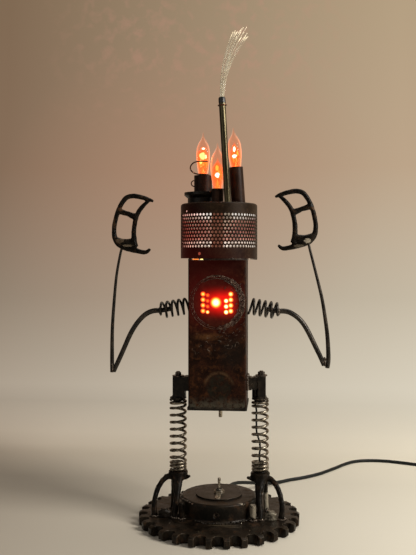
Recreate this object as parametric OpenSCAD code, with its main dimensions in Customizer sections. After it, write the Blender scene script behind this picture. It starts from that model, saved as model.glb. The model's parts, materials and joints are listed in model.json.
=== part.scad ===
// Robot shaped desk lamp welded up from machine scrap: a chain sprocket base,
// spring legs, a steel box torso, a perforated drum head with three flame bulbs,
// a fibre optic plume, and two sprung arms with cast cage hands.
// Origin on the table under the torso's middle, +Z up, the chest faces -Y.

/* [Base sprocket] */
// Pitch of the roller chain that the sprocket was cut for
chain_pitch = 25.4; // [19.05:0.05:25.4]
// Diameter of that chain's rollers
roller_d = 15.88; // [10:0.02:16]
// Number of teeth
sprocket_teeth = 30; // [30:2:34]
// Thickness of the toothed plate
plate_t = 14.6; // [12:0.2:18]
// Diameter of the hub
hub_d = 120; // [112:1:120]
// Height of the hub's top above the table
hub_h = 42; // [40:1:52]
// Radius of the rounded edge at the hub's top
hub_edge_r = 3; // [1:0.5:4]
// Bore through the hub
bore_d = 56; // [50:1:58]
// Width of the keyway in the bore
keyway_w = 14; // [8:1:16]
// Depth of the keyway in the bore
keyway_depth = 4; // [3:0.5:5]
// Diameter of the set screw in the hub's front
set_screw_d = 10; // [6:1:12]
// Height of the set screw's axis
set_screw_z = 27; // [25:1:28]

/* [Switch] */
// Diameter of the disc that closes the bore
switch_plate_d = 74; // [70:1:84]
// Thickness of that disc
switch_plate_t = 2.5; // [2:0.5:4]
// Diameter of the switch's threaded bush
bush_d = 11.8; // [11:0.1:12.5]
// Width across the flats of the switch's nut
switch_nut_af = 15; // [14:0.5:18]
// Length of the switch's body below the disc
switch_body_h = 22; // [18:1:24]
// Width of the switch's body
switch_body_w = 28; // [24:1:32]
// Depth of the switch's body
switch_body_depth = 17; // [15:1:20]
// Length of the toggle lever above its pivot
toggle_len = 22; // [18:1:26]
// Diameter of the toggle lever at its tip
toggle_tip_d = 5; // [4:0.2:5.6]
// Lean of the lever to each side
toggle_lean = 12; // [8:1:12]

/* [Feet] */
// Gap between the hub's wall and each leg's axis
leg_gap = 6; // [6:0.5:8]
// Height of each foot's collar above the table
foot_h = 79; // [76:1:90]
// Diameter of each foot's collar
collar_d = 31; // [30:0.5:34]
// Height of the collar
collar_t = 13; // [11:1:16]
// Spread of the front legs towards the front
foot_front = 37; // [34:1:40]
// Reach of each arched leg to the side, beyond the leg's axis
foot_arch = 33; // [31:1:35]
// Width across the flats of the foot bolts
foot_bolt_af = 10; // [8:1:10]

/* [Leg springs] */
// Outer diameter of the leg springs
leg_spring_d = 28.3; // [27:0.1:29]
// Wire of the leg springs
leg_wire = 4.3; // [4:0.1:4.5]
// Length of the leg springs
leg_spring_len = 116; // [110:1:124]
// Turns of each leg spring
leg_turns = 12; // [11:0.5:13]
// Diameter of the lead inside the right leg
lead_d = 3; // [2.4:0.2:3]

/* [Torso] */
// Width and depth of the square tube
torso_w = 90; // [88:1:92]
// Length of the square tube
torso_h = 229; // [220:1:240]
// Wall of the square tube
torso_wall = 4; // [3:0.5:5]
// Radius of the tube's corners
torso_corner_r = 3; // [2:0.5:4]
// Thickness of the plate under the torso
sole_t = 4; // [3:0.5:6]
// How far that plate stands proud of the tube
sole_lip = 1.5; // [1:0.5:2.5]
// Height of the chest lamp's middle above the tube's lower end
chest_z = 163.4; // [150:0.2:165]
// Diameter of the hole in the middle of the chest
chest_eye_d = 14; // [10:0.5:16]
// Diameter of the small chest holes
chest_hole_d = 6; // [4:0.2:6.4]
// Spacing of the small chest holes
chest_pitch = 8.7; // [8:0.1:9]
// Outer radius of the weld ring round the chest lamp
chest_ring_r = 43; // [42:0.5:43.5]
// Width of one bead of that ring
bead_w = 3.4; // [2.5:0.1:3.6]
// Diameter of the dimmer's shaft
dimmer_d = 6; // [5:0.5:8]
// Length of the dimmer's shaft below the torso
dimmer_out = 19; // [14:0.5:22]

/* [Head] */
// Outer diameter of the perforated drum
head_d = 122.8; // [122:0.2:126]
// Height of the drum
head_h = 87; // [86:1:96]
// Wall of the drum
head_wall = 1.8; // [1.5:0.1:2.5]
// Perforations round the drum
perf_count = 68; // [60:2:68]
// Rows of perforations
perf_rows = 10; // [6:1:10]
// Diameter of a perforation
perf_d = 3.8; // [3:0.1:3.9]
// Spacing of the rows of perforations
perf_pitch = 5.43; // [5:0.01:5.5]
// Height of the lowest row above the drum's lower edge
perf_z = 18.8; // [16:0.2:20]
// Radius of the drum's rounded top edge
head_edge_r = 4; // [3:0.5:5]
// Thickness of the plate between torso and head
neck_t = 2.8; // [2:0.1:4]

/* [Flame bulbs] */
// Widest diameter of a bulb
bulb_d = 23; // [21:0.5:23]
// Length of a bulb's glass
bulb_len = 70; // [66:1:74]
// Thickness of the glass
glass_t = 0.8; // [0.6:0.1:1.2]
// Diameter of a bulb's screw cap
cap_d = 13.5; // [12:0.5:14]
// Height of the left socket's mouth above the lid
left_socket_h = 48.2; // [42:0.2:52]
// Height of the right socket's mouth above the lid
right_socket_h = 61.8; // [54:0.2:66]
// Height of the front socket's mouth above the lid
front_socket_h = 23.8; // [20:0.2:26]
// Outer diameter of the left socket
left_socket_d = 29; // [27:0.5:30]
// Outer diameter of the right socket
right_socket_d = 22.6; // [21:0.2:24]
// Outer diameter of the front socket
front_socket_d = 19; // [18:0.5:20]

/* [Antenna] */
// Outer diameter of the antenna tube
antenna_d = 10.5; // [9:0.1:11]
// Length of the antenna tube
antenna_len = 155.8; // [140:0.2:170]
// Lean of the antenna to the left
antenna_lean = 3.2; // [2:0.1:4]
// Wall of the antenna tube
antenna_wall = 1.5; // [1:0.1:1.8]
// Diameter of one glass fibre
fibre_d = 0.9; // [0.7:0.1:1]
// Length of the plume above the ferrule
plume_h = 112; // [90:1:120]

/* [Arms] */
// Height of the shoulders above the torso tube's lower end
shoulder_z = 156.4; // [150:0.2:160]
// Downward slope of the shoulder springs
shoulder_slope = 10; // [6:1:12]
// Outer diameter of the shoulder springs
shoulder_spring_d = 28; // [26:0.5:29]
// Wire of the shoulder springs
shoulder_wire = 4; // [3.5:0.1:4.2]
// Pitch of the shoulder springs
shoulder_pitch = 9.4; // [9:0.1:10]
// Turns of each shoulder spring
shoulder_turns = 5; // [5:1:5]

/* [Mains lead] */
// Diameter of the mains lead
cord_d = 6; // [5:0.5:6]
// Middle radius of the coil of spare lead
coil_r = 30.5; // [28:0.5:34]
// Diameter of the plug's pins
pin_d = 4; // [3.6:0.2:4.8]
// Length of the plug's pins
pin_len = 19; // [17:1:20]

/* [Hidden] */
$fn = 48;

far = 400;                // longer than anything that is cut
seat_gap = 0.3;           // rest gap under welded wire and loose pieces
run_gap = 0.05;           // radial running clearance
thread_gap = 0.1;         // radial clearance of a plain hole round its own bolt

// base
pitch_d = chain_pitch / sin(180 / sprocket_teeth);
sprocket_d = chain_pitch * (0.6 + cos(180 / sprocket_teeth) / sin(180 / sprocket_teeth));
tooth_turn = 3.4;         // the sprocket was welded a little out of line
flank_angle = 17;         // half of the angle between two facing tooth flanks
tooth_chamfer = 2.2;
weld_fillet = 4;
gland_x = 12;
gland_z = 28;
gland_hole_d = 11;
gland_flange_r = 8;
lead_hole_d = 5;
lead_exit_z = 26;

// switch
disc_top = hub_h + switch_plate_t;
nut_t = 3;
bush_top = disc_top + 6.5;
pivot_z = disc_top + 1.5;
ball_d = 6;
bush_bore_d = ball_d + 2 * run_gap;
stub_len = 5;
stub_r = 1.5;
body_cavity_d = 9;
tag_t = 0.8;
tag_d = 17;
tag_w = 8;
tag_len = 35;

// feet
leg_x = hub_d / 2 + leg_gap;
foot_reach = leg_x + foot_arch;
spigot_d = 17;
spigot_h = 4;
knee_drop = 20;           // how far the front leg's bend lies below the collar
heel_d = 9.6;
heel_h = 25;
heel_turn = -36.8;
foot_bolt_x = leg_x + 17;
foot_bolt_y = -36;
foot_bolt_h = 14.5;

// leg springs
leg_coil_r = (leg_spring_d - leg_wire) / 2;
spring_top = foot_h + leg_spring_len;
low_turns = 2.5;          // closed turns at the foot
high_turns = 1.5;         // closed turns at the bracket
closed_pitch = leg_wire + 1;
steps_per_turn = 12;
wire_sides = 7;
bracket_z = spring_top + seat_gap;
bracket_h = 35;           // height of the left bracket
right_bracket_h = 37.5;
bracket_w = 20;
bracket_seat_d = 26.6;
bracket_seat_t = 1.6;
notch_h = 13;             // height of the open notch between bracket and torso
stud_d = 6;
stud_nut_af = 8.4;
right_nut_af = 9.8;
stud_nut_h = 5;
stud_washer_d = 19;
stud_washer_t = 1.6;
right_stud_x = 1.9;       // how far the right stud stands outside the spring's axis
lead_x = leg_x - 8;
bracket_lead_d = 6;

// torso
torso_z = 188.6;
torso_top = torso_z + torso_h;
torso_r = torso_w / 2;
chest_x = -1.5;
chest_mid = torso_z + chest_z;
column_out = 21.5;
column_in = 14.4;
bead_h = 1.6;
lens_r = 33;
lens_t = 3;
board_t = 1.6;
board_gap = 8;
led_d = 5;
led_h = 7;
dimmer_body_d = 24;
dimmer_body_h = 12;
dimmer_bore_d = dimmer_d + 2 * run_gap;
dimmer_len = 27;
dimmer_x = 2.4;
top_plate_t = 3;

// head
head_z = torso_top + neck_t;
head_top = head_z + head_h;
head_r = head_d / 2;
head_lid_t = 2.5;
lip_w = 5;                // width of the drum's turned in edge
edge_step = 0.08;         // step between the perforated wall's flats and the rounded edge
lip_r = head_r * cos(180 / perf_count) - edge_step;
seat_top = head_top - head_wall;    // the lid's top, under the turned in edge
extra_holes = [[-141.6, 74, 3.8], [-115.4, 7.4, 5]];   // turn, height, diameter
neck_left = -20;
neck_right = 46;
nipple_d = 10;
nipple_nut_af = 17;
nipple_nut_h = 4;
bead_d = 8;

// lamp cluster, each socket's middle on the head's top
cup_x = -25;
cup_y = 6;
cup_h = 20.8;
cup_low_r = 26;
cup_top_r = 31.5;
cup_t = 2;
left_at = [-26, 4];
right_at = [31, 8];
front_at = [0, -31];
right_lean = 4;
left_socket_wall = 3;
right_socket_wall = 1.6;
front_socket_wall = 1.5;
cap_gap = 0.2;            // radial clearance of a bulb's cap in its socket
cap_h = 18;
glass_sink = 4;           // how far a glass reaches into its socket's mouth
right_glass_sink = 9.6;
front_glass_sink = 2;
glass_foot_r = 7.4;

// antenna
antenna_x = 16.8;
antenna_y = -43;
antenna_bore_d = antenna_d - 2 * antenna_wall;
ferrule_h = 9;
ferrule_d = antenna_d + 0.6;
collar_wire_d = 2;
collar_gap = 0.05;
fibre_lamp_d = 14;
fibre_lamp_h = 24;

// shoulders
shoulder_coil_r = (shoulder_spring_d - shoulder_wire) / 2;
shoulder_start = shoulder_wire / 2 + shoulder_coil_r * sin(shoulder_slope) + seat_gap;
pivot_turn = 2.25;        // the spring is parted where its wire crosses the hinge line
wire_part_gap = 0.3;
rod_r = 4;

// The copper wire from the left socket's rim, from the rim's middle and top
WIRE_LOOP = [[10.2, -8, 0], [6, -11.6, 0], [0, -13, 0], [-6.5, -11.6, 0.3], [-12.5, -10.6, 1.8],
    [-17.6, -10.1, 5.4], [-19.6, -10, 10], [-18, -11, 15], [-13.5, -12.4, 18.8], [-6.5, -13.5, 20.4],
    [1.5, -13.8, 20.6], [8.6, -13, 20]];
loop_wire_d = 2.2;
hook_r = 4.6;

// Points along each arm as [x, z, radius], from the spring out and down to the elbow
LEFT_UPPER = [[77, 339.3, 4], [86, 337.8, 4], [95, 336.2, 4], [103, 336, 4.2], [112, 333.8, 4.2],
    [121, 328.5, 4.1], [129, 320.5, 4], [137, 310, 4], [145, 296, 4], [153, 278, 3.9], [161, 260, 3.9],
    [168, 245, 3.8], [171.5, 237, 3.6]];
RIGHT_UPPER = [[77, 339.3, 4], [86, 337.8, 4], [95, 336.2, 4], [103, 336.4, 4.2], [111, 335, 4.2],
    [119, 331, 4.1], [127, 325, 4], [134.5, 316.5, 4], [141.5, 305, 4], [148, 292, 3.9], [155, 277.5, 3.9],
    [161.5, 264, 3.8], [167, 251, 3.6]];
LEFT_FOREARM = [[174, 236, 3.4], [174.3, 262, 3.3], [173.8, 306, 2.9], [171, 349, 2.6], [167, 392, 2.3],
    [161, 426, 2.1], [157.5, 441, 2]];
RIGHT_FOREARM = [[172.3, 247, 3.6], [174, 262, 3.6], [172.6, 295, 3.3], [169, 325, 3], [164, 356, 2.7],
    [157, 386, 2.4], [149, 418, 2.2], [144.5, 436, 2.1], [142.5, 447, 2]];
// Centre lines of a cast cage hand as [out, up, radius], from the wrist's weld
HAND_RIM = [[-54, 83, 2.2], [-46, 86.5, 3.4], [-34, 90, 4], [-21, 92, 4.2], [-10, 89, 4.2],
    [-1, 77, 4], [5, 63, 3.9], [8.5, 49, 3.9], [10, 36, 4], [8.5, 24, 4.6], [2, 14.5, 5.4],
    [-8, 9.5, 6], [-21, 5, 5], [-34, 1.5, 4], [-43, 1, 3.4], [-49, 6, 2.2]];
HAND_INNER = [[-47, 84, 2.6], [-41, 79, 3.4], [-34, 71.5, 3.8], [-28.5, 63, 4], [-25.5, 54, 4],
    [-23.5, 44, 4], [-22.5, 33, 4.2], [-23, 21, 4.6], [-25, 10, 5]];
HAND_BAR = [[2, 68, 5], [-5, 65.5, 4.6], [-12, 63.5, 4.2], [-19, 60.5, 5], [-26, 58, 5.5]];
HAND_WEB = [[7, 22, 4.5], [0, 18.5, 5.5], [-8, 16.5, 6], [-17, 17, 6], [-24, 18, 5]];
// The small core hole at the foot of the right hand
HAND_CORE = [[-20, 8.5], [-15.5, 11], [-9.5, 8.8]];
core_r = 1.3;
LEFT_HAND_AT = [-161, 429.5];
RIGHT_HAND_AT = [144, 435.5];

// The lead from the hub up to the foot's top, from the leg's axis and the foot's top as [x, y, z]
HUB_LEAD = [[-40, 0, -53], [-21, 0, -53], [-8, 0, -52.5], [-2.5, 0, -48], [0, 0, -37], [0, 0, -19], [0, 0, 1]];
// The lead on inside the right leg and into the torso, from the same place
LEG_LEAD = [[0, 0, 1], [0, 0, 8], [-1, -1, 17], [-1, -2, 29], [0, -2, 39], [-1.5, -1, 50], [-5.5, 0, 63],
    [-6, 0, 77], [-6, 0, 91], [-6, 0, 99], [-7.8, 0, 108], [-8, 0, 116], [-8, 0, 126], [-8, 0, 133],
    [-8, 0, 137.5], [-9, 0, 141], [-12.5, 0, 142], [-19, 0, 142], [-28, 0, 142]];
lead_side_z = foot_h + 142;

// The mains lead's route behind and beside the lamp as [x, y, z]
CORD_ROUTE = [[12, 90, 28], [15, 106, 27], [23, 124, 24.5], [34, 141, 20.5], [48, 158, 15.5], [64, 175, 10.5],
    [81, 192, 6], [98, 209, 3.5], [119, 228, 3], [147, 247, 3], [177, 275, 3], [208, 316, 3],
    [229, 346, 3], [247, 366, 3], [266, 377, 3], [289, 381, 3], [317, 379, 3], [345, 370, 3],
    [374, 358, 3], [402, 351, 3], [430, 349, 3]];
COIL_AT = [430, 315.5];
TAIL_ROUTE = [[430, 349, 9], [448, 348.3, 8.2], [468, 345, 6], [486, 338.4, 4.6], [500, 330.3, 6.2],
    [508.2, 325.5, 7], [515.74, 321.15, 7]];
PLUG_AT = [516, 321];
PLUG_TURN = -30;
coil_rows = 3;
plug_w = 26;
plug_h = 14;
plug_len = 35;
pin_span = 19;

// ---------- shared shapes ----------

function unit(v) = v / norm(v);
function xyz(p) = [p[0], p[1], p[2]];
function heading(p, i) = unit(xyz(p[min(i + 1, len(p) - 1)]) - xyz(p[max(i - 1, 0)]));
function curve(a, b, c, d, t) = 0.5 * (2 * b + (c - a) * t + (2 * a - 5 * b + 4 * c - d) * t * t
    + (3 * b - a - 3 * c + d) * t * t * t);
// A smooth run through the points, with some steps in each stretch
function smooth(p, steps) = [for (i = [0:len(p) - 2], s = [0:steps - 1])
    curve(p[max(i - 1, 0)], p[i], p[i + 1], p[min(i + 2, len(p) - 1)], s / steps), p[len(p) - 1]];
function rings(p, sides, ref) = [for (i = [0:len(p) - 1])
    let (t = heading(p, i), n = unit(cross(t, ref)), b = cross(t, n))
    for (k = [0:sides - 1]) xyz(p[i]) + p[i][3] * (cos(360 * k / sides) * n + sin(360 * k / sides) * b)];
function skin(count, sides) = [
    [for (k = [0:sides - 1]) k],
    for (i = [0:count - 2], k = [0:sides - 1]) let (a = i * sides + k, b = i * sides + (k + 1) % sides)
        each [[a, b + sides, b], [a, a + sides, b + sides]],
    [for (k = [sides - 1:-1:0]) (count - 1) * sides + k]];

// A bar swept along points [x, y, z, radius]; ref is a direction that the points never follow
module bar(p, sides, ref) {
    polyhedron(rings(p, sides, ref), skin(len(p), sides), convexity = 10);
}

module hex_prism(af, h) {
    cylinder(d = af / cos(30), h = h, $fn = 6);
}

// A hexagon with its corners chamfered by a cone at the top, and at the foot too if both is true
module hex_nut(af, h, hole, both = true) {
    corner = af / cos(30) / 2;
    drop = (corner - af / 2) * 0.6;
    difference() {
        intersection() {
            hex_prism(af, h);
            rotate_extrude() polygon([[0, 0], [both ? af / 2 : corner, 0], [corner, drop],
                [corner, h - drop], [af / 2, h], [0, h]]);
        }
        if (hole > 0) translate([0, 0, -1]) cylinder(d = hole, h = h + 2);
    }
}

module rounded_square(w, r) {
    square([w - 2 * r, w], center = true);
    square([w, w - 2 * r], center = true);
    for (x = [-1, 1], y = [-1, 1]) translate([x * (w / 2 - r), y * (w / 2 - r)]) circle(r);
}

module disc_with_hole(d, h, hole) {
    difference() {
        cylinder(d = d, h = h);
        translate([0, 0, -1]) cylinder(d = hole, h = h + 2);
    }
}

// ---------- base ----------

// The gap between two teeth: a roller seat that opens outwards along straight flanks
module tooth_gap() {
    seat_r = roller_d / 2;
    reach = sprocket_d / 2 - pitch_d / 2 + 2;
    half = seat_r * 0.94;
    wide = half + reach * tan(flank_angle);
    translate([pitch_d / 2, 0]) {
        circle(seat_r);
        polygon([[0, -half], [reach, -wide], [reach, wide], [0, half]]);
    }
}

module sprocket_plate() {
    rim = sprocket_d / 2;
    intersection() {
        linear_extrude(plate_t) difference() {
            circle(rim, $fn = 120);
            for (i = [0:sprocket_teeth - 1])
                rotate(i * 360 / sprocket_teeth + tooth_turn - 90) tooth_gap();
        }
        rotate_extrude($fn = 120) polygon([[0, 0], [rim - tooth_chamfer * 2, 0], [rim, tooth_chamfer],
            [rim, plate_t - tooth_chamfer], [rim - tooth_chamfer * 2, plate_t], [0, plate_t]]);
    }
}

module hub_outline() {
    r = hub_d / 2;
    translate([0, plate_t]) square([r - hub_edge_r, hub_h - plate_t]);
    translate([0, plate_t]) square([r, hub_h - plate_t - hub_edge_r]);
    translate([r - hub_edge_r, hub_h - hub_edge_r]) circle(hub_edge_r);
    difference() {
        translate([r - 1, plate_t]) square([weld_fillet + 1, weld_fillet]);
        translate([r + weld_fillet, plate_t + weld_fillet]) circle(weld_fillet);
    }
}

module sprocket_base() {
    color("dimgray") difference() {
        union() {
            sprocket_plate();
            rotate_extrude($fn = 96) hub_outline();
        }
        translate([0, 0, -1]) cylinder(d = bore_d, h = hub_h + 2, $fn = 72);
        translate([-keyway_w / 2, 0, -1]) cube([keyway_w, bore_d / 2 + keyway_depth, hub_h + 2]);
        translate([0, 0, set_screw_z]) rotate([90, 0, 0]) cylinder(d = set_screw_d, h = far);
        translate([gland_x, 0, gland_z]) rotate([-90, 0, 0]) cylinder(d = gland_hole_d, h = far);
        translate([0, 0, lead_exit_z]) rotate([0, 90, 0]) cylinder(d = lead_hole_d, h = far);
    }
}

module set_screw() {
    depth = hub_d / 2 - bore_d / 2 - 4;
    color("gray") translate([0, -bore_d / 2 - 1, set_screw_z]) rotate([90, 0, 0]) difference() {
        cylinder(d = set_screw_d - 2 * thread_gap, h = depth);
        translate([0, 0, depth - 4]) hex_prism(set_screw_d / 2, 5);
    }
}

module switch_plate() {
    color("saddlebrown") translate([0, 0, hub_h])
        disc_with_hole(switch_plate_d, switch_plate_t, bush_d + 2 * thread_gap);
}

module switch_body() {
    color("darkslategray") {
        difference() {
            union() {
                translate([-switch_body_w / 2, -switch_body_depth / 2, hub_h - switch_body_h])
                    cube([switch_body_w, switch_body_depth, switch_body_h]);
                translate([0, 0, hub_h]) cylinder(d = bush_d, h = bush_top - hub_h);
            }
            translate([0, 0, pivot_z - ball_d / 2 - 0.5])
                cylinder(d = bush_bore_d, h = bush_top - pivot_z + ball_d);
            translate([0, 0, pivot_z + 2.6])
                cylinder(d1 = bush_bore_d, d2 = bush_bore_d + 2.4, h = bush_top - pivot_z - 2.5);
            translate([0, 0, pivot_z - ball_d / 2 - stub_len - 1])
                cylinder(d = body_cavity_d, h = stub_len + 0.6);
        }
        for (x = [-1, 1] * switch_body_w / 4)
            translate([x - 3, -0.4, hub_h - switch_body_h - 8]) cube([6, 0.8, 8]);
    }
}

module switch_nut() {
    color("silver") translate([0, 0, disc_top + tag_t])
        hex_nut(switch_nut_af, nut_t, bush_d + 2 * thread_gap);
}

// The on and off tag under the nut, with its tongue towards the front
module switch_tag() {
    color("silver") translate([0, 0, disc_top]) linear_extrude(tag_t) difference() {
        union() {
            circle(d = tag_d);
            translate([-tag_w / 2, -tag_len + tag_w / 2]) square([tag_w, tag_len - tag_w / 2]);
            translate([0, -tag_len + tag_w / 2]) circle(d = tag_w);
        }
        circle(d = bush_d + 2 * thread_gap);
        translate([0, -tag_len + tag_w / 2]) circle(d = tag_w / 3);
    }
}

module toggle_lever() {
    tip = toggle_tip_d / 2;
    color("silver") translate([0, 0, pivot_z]) rotate([-toggle_lean, 0, 0]) rotate_extrude() union() {
        intersection() {
            circle(d = ball_d);
            translate([0, -ball_d / 2]) square([ball_d, ball_d]);
        }
        polygon([[0, 0], [stub_r, 0], [tip * 0.75, toggle_len * 0.4], [tip, toggle_len - tip],
            [0, toggle_len - tip]]);
        translate([0, toggle_len - tip]) intersection() {
            circle(tip);
            square(tip);
        }
        translate([0, -ball_d / 2 - stub_len + stub_r]) square([stub_r, stub_len]);
    }
}

// ---------- feet and legs ----------

// A cast foot for the right side: collar, bent front leg, round back leg, arched leg, heel pin and ear
module foot() {
    collar_z = foot_h - collar_t;
    knee = [leg_x - 1.5, -foot_front * 0.65, collar_z - knee_drop];
    heel_r = hub_d / 2 + weld_fillet + heel_d / 2 + 0.5;
    heel = [heel_r * cos(heel_turn), heel_r * sin(heel_turn), plate_t];
    difference() {
        union() {
            translate([leg_x, 0, collar_z]) cylinder(d = collar_d, h = collar_t);
            translate([leg_x, 0, foot_h]) cylinder(d = spigot_d, h = spigot_h);
            hull() {
                translate([leg_x, -6, collar_z + 3]) rotate([90, 0, 0]) cylinder(d = 18, h = 7, $fn = 24);
                translate(knee) sphere(d = 10.5, $fn = 16);
            }
            hull() {
                translate(knee) sphere(d = 10.5, $fn = 16);
                translate([leg_x + 1.5, -foot_front, plate_t]) cylinder(d = 9.5, h = 4, $fn = 24);
            }
            hull() {
                translate([leg_x + 8, 6, collar_z]) cylinder(d = 8, h = 6, $fn = 20);
                translate([leg_x + 9.5, 9, plate_t]) cylinder(d = 8, h = 2, $fn = 20);
            }
            translate(heel) cylinder(d = heel_d, h = heel_h, $fn = 24);
            hull() {
                translate(heel) cylinder(d = 5, h = 6, $fn = 16);
                translate([leg_x + 1.5, -foot_front, plate_t]) cylinder(d = 5, h = 6, $fn = 16);
            }
            bar(smooth([[leg_x + 4, -4, collar_z + 5, 6], [leg_x + 18, -10, collar_z + 4, 4.8],
                [leg_x + 29, -19, collar_z - 9, 4.3], [foot_reach + 1, -27, 40, 4.2],
                [foot_reach + 1.5, -31, 26, 4.6], [foot_reach, -32, plate_t, 5.4]], 2), 12, [0, 1, 0]);
            hull() {
                translate([leg_x - 12, -5, foot_h - 10]) sphere(d = 8, $fn = 16);
                translate([leg_x - 19, -8, foot_h - 7.5]) sphere(d = 5, $fn = 16);
            }
        }
        translate([leg_x, 0, collar_z - 2]) cylinder(d = lead_hole_d, h = collar_t + spigot_h + 3);
        translate([0, 0, plate_t - far]) cube([far, far, far * 2], center = true);
    }
}

module left_foot() {
    color("dimgray") mirror([1, 0, 0]) foot();
}

module right_foot() {
    color("dimgray") foot();
}

// A bolt head in a rough lump of weld between the front leg and the arched leg of each foot
module foot_bolts() {
    color("gray") for (side = [0, 1]) mirror([side, 0, 0]) translate([foot_bolt_x, foot_bolt_y, plate_t]) {
        hull() {
            translate([-6.5, 0, 0]) cylinder(r = 3.8, h = 8, $fn = 20);
            cylinder(r = 6, h = foot_bolt_h - 3, $fn = 24);
            translate([6, 1, 0]) cylinder(r = 4, h = 9.5, $fn = 20);
        }
        hex_nut(foot_bolt_af, foot_bolt_h, 0, false);
    }
}

// Height of the wire's middle after t turns, with closed turns at both ends
function leg_rise(t) =
    let (span = leg_spring_len - leg_wire, low = low_turns * closed_pitch,
        high = span - high_turns * closed_pitch, pitch = (high - low) / (leg_turns - low_turns - high_turns))
    t < low_turns ? t * closed_pitch
    : t > leg_turns - high_turns ? span - (leg_turns - t) * closed_pitch
    : low + (t - low_turns) * pitch;

module leg_spring() {
    steps = leg_turns * steps_per_turn;
    bar([for (i = [0:steps]) let (t = i / steps_per_turn)
        [leg_coil_r * cos(360 * t), leg_coil_r * sin(360 * t), leg_wire / 2 + leg_rise(t), leg_wire / 2]],
        wire_sides, [0, 0, 1]);
}

module left_leg_spring() {
    color("dimgray") translate([-leg_x, 0, foot_h]) rotate(200) leg_spring();
}

module right_leg_spring() {
    color("silver") translate([leg_x, 0, foot_h]) rotate(20) leg_spring();
}

module lead(route) {
    color("black") bar(smooth([for (p = route) [leg_x + p[0], p[1], foot_h + p[2], lead_d / 2]], 2), 8,
        [0, 1, 0]);
}

module hub_lead() {
    lead(HUB_LEAD);
}

module leg_lead() {
    lead(LEG_LEAD);
}

// ---------- mains lead ----------

module cord_gland() {
    // The flange clears the curved hub wall at its inner edge
    flange = sqrt(pow(hub_d / 2, 2) - pow(gland_x - gland_flange_r, 2)) + seat_gap - bore_d / 2;
    tip = CORD_ROUTE[0][1] - bore_d / 2;
    hole_r = gland_hole_d / 2 - thread_gap;
    color("black") translate([gland_x, bore_d / 2, gland_z]) rotate([-90, 0, 0]) rotate_extrude()
        polygon([[0, -2], [hole_r, -2], [hole_r, flange], [gland_flange_r, flange],
            [gland_flange_r, flange + 2], [hole_r, flange + 3], [cord_d / 2 + 0.7, tip], [0, tip]]);
}

module mains_cord() {
    route = smooth([for (p = CORD_ROUTE) [p[0], p[1], p[2], cord_d / 2]], 3);
    color("black") bar(route, 8, [0, 0, 1]);
}

module cord_coil() {
    color("black") translate([COIL_AT[0], COIL_AT[1], 0]) rotate_extrude()
        translate([coil_r - cord_d, 0]) square([2 * cord_d, coil_rows * cord_d]);
}

module cord_tail() {
    route = smooth([for (p = TAIL_ROUTE) [p[0], p[1], p[2], cord_d / 2]], 3);
    color("black") bar(route, 8, [0, 0, 1]);
}

// A flat two pin plug that lies on the table, its pins away from the lead
module mains_plug() {
    color("black") translate([PLUG_AT[0], PLUG_AT[1], plug_h / 2]) rotate(PLUG_TURN) {
        hull() for (y = [-1, 1]) {
            translate([0, y * 3, 0]) rotate([0, 90, 0]) cylinder(d = 8, h = 2, $fn = 24);
            translate([plug_len - 3, y * (plug_w - plug_h) / 2, 0]) rotate([0, 90, 0])
                cylinder(d = plug_h, h = 3, $fn = 24);
        }
        for (y = [-1, 1] * pin_span / 2) translate([plug_len, y, 0]) rotate([0, 90, 0])
            cylinder(d = pin_d, h = pin_len);
    }
}

// ---------- torso ----------

// Places its children on the chest holes: two columns at each side of the eye
module at_chest_holes() {
    for (row = [-1.5:1:1.5], side = [-1, 1]) {
        translate([side * column_out, row * chest_pitch]) children();
        if (!(side == 1 && row > 1)) translate([side * column_in, (row - 0.2) * chest_pitch]) children();
    }
}

module torso_box() {
    color("sienna") difference() {
        translate([0, 0, torso_z]) linear_extrude(torso_h) difference() {
            rounded_square(torso_w, torso_corner_r);
            rounded_square(torso_w - 2 * torso_wall, torso_corner_r / 2);
        }
        translate([0, 0, chest_mid]) rotate([90, 0, 0]) linear_extrude(far) at_chest_holes()
            circle(d = chest_hole_d);
        translate([chest_x, 0, chest_mid]) rotate([90, 0, 0]) cylinder(d = chest_eye_d, h = far);
        translate([0, 0, lead_side_z]) rotate([0, 90, 0]) cylinder(d = lead_hole_d, h = far);
    }
}

module torso_sole() {
    color("black") translate([0, 0, torso_z - sole_t]) linear_extrude(sole_t) difference() {
        rounded_square(torso_w + 2 * sole_lip, torso_corner_r);
        translate([dimmer_x, 0]) circle(d = dimmer_d + 4 + 2 * thread_gap);
    }
}

module torso_top_plate() {
    inner = torso_w - 2 * torso_wall - 0.2;
    color("dimgray") translate([0, 0, torso_top - top_plate_t]) linear_extrude(top_plate_t) difference() {
        rounded_square(inner, torso_corner_r / 2);
        circle(d = nipple_d + 2 * thread_gap);
    }
}

// Two rough weld beads in a ring round the chest lamp
module chest_ring() {
    color("gray") translate([chest_x + 0.8, -torso_r, chest_mid]) rotate([90, 0, 0]) rotate_extrude($fn = 90)
        for (r = [chest_ring_r - bead_w / 2, chest_ring_r - bead_w * 1.45]) intersection() {
            translate([r, bead_h - bead_w / 2]) circle(bead_w / 2);
            square([far, bead_h]);
        }
}

module chest_lens() {
    color("red") translate([0, -torso_r + torso_wall + lens_t, chest_mid]) rotate([90, 0, 0])
        cylinder(r = lens_r, h = lens_t);
}

module chest_board() {
    back = -torso_r + torso_wall + lens_t + board_gap;
    color("darkgreen") {
        translate([0, back + board_t, chest_mid]) rotate([90, 0, 0]) cylinder(r = lens_r, h = board_t);
        for (a = [45:90:315]) translate([(lens_r - 3) * cos(a), back, chest_mid + (lens_r - 3) * sin(a)])
            rotate([90, 0, 0]) cylinder(d = 5, h = board_gap);
    }
}

module one_led() {
    cylinder(d = led_d, h = led_h - led_d / 2, $fn = 20);
    translate([0, 0, led_h - led_d / 2]) rotate_extrude($fn = 20) intersection() {
        circle(d = led_d);
        square(led_d);
    }
}

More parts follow.
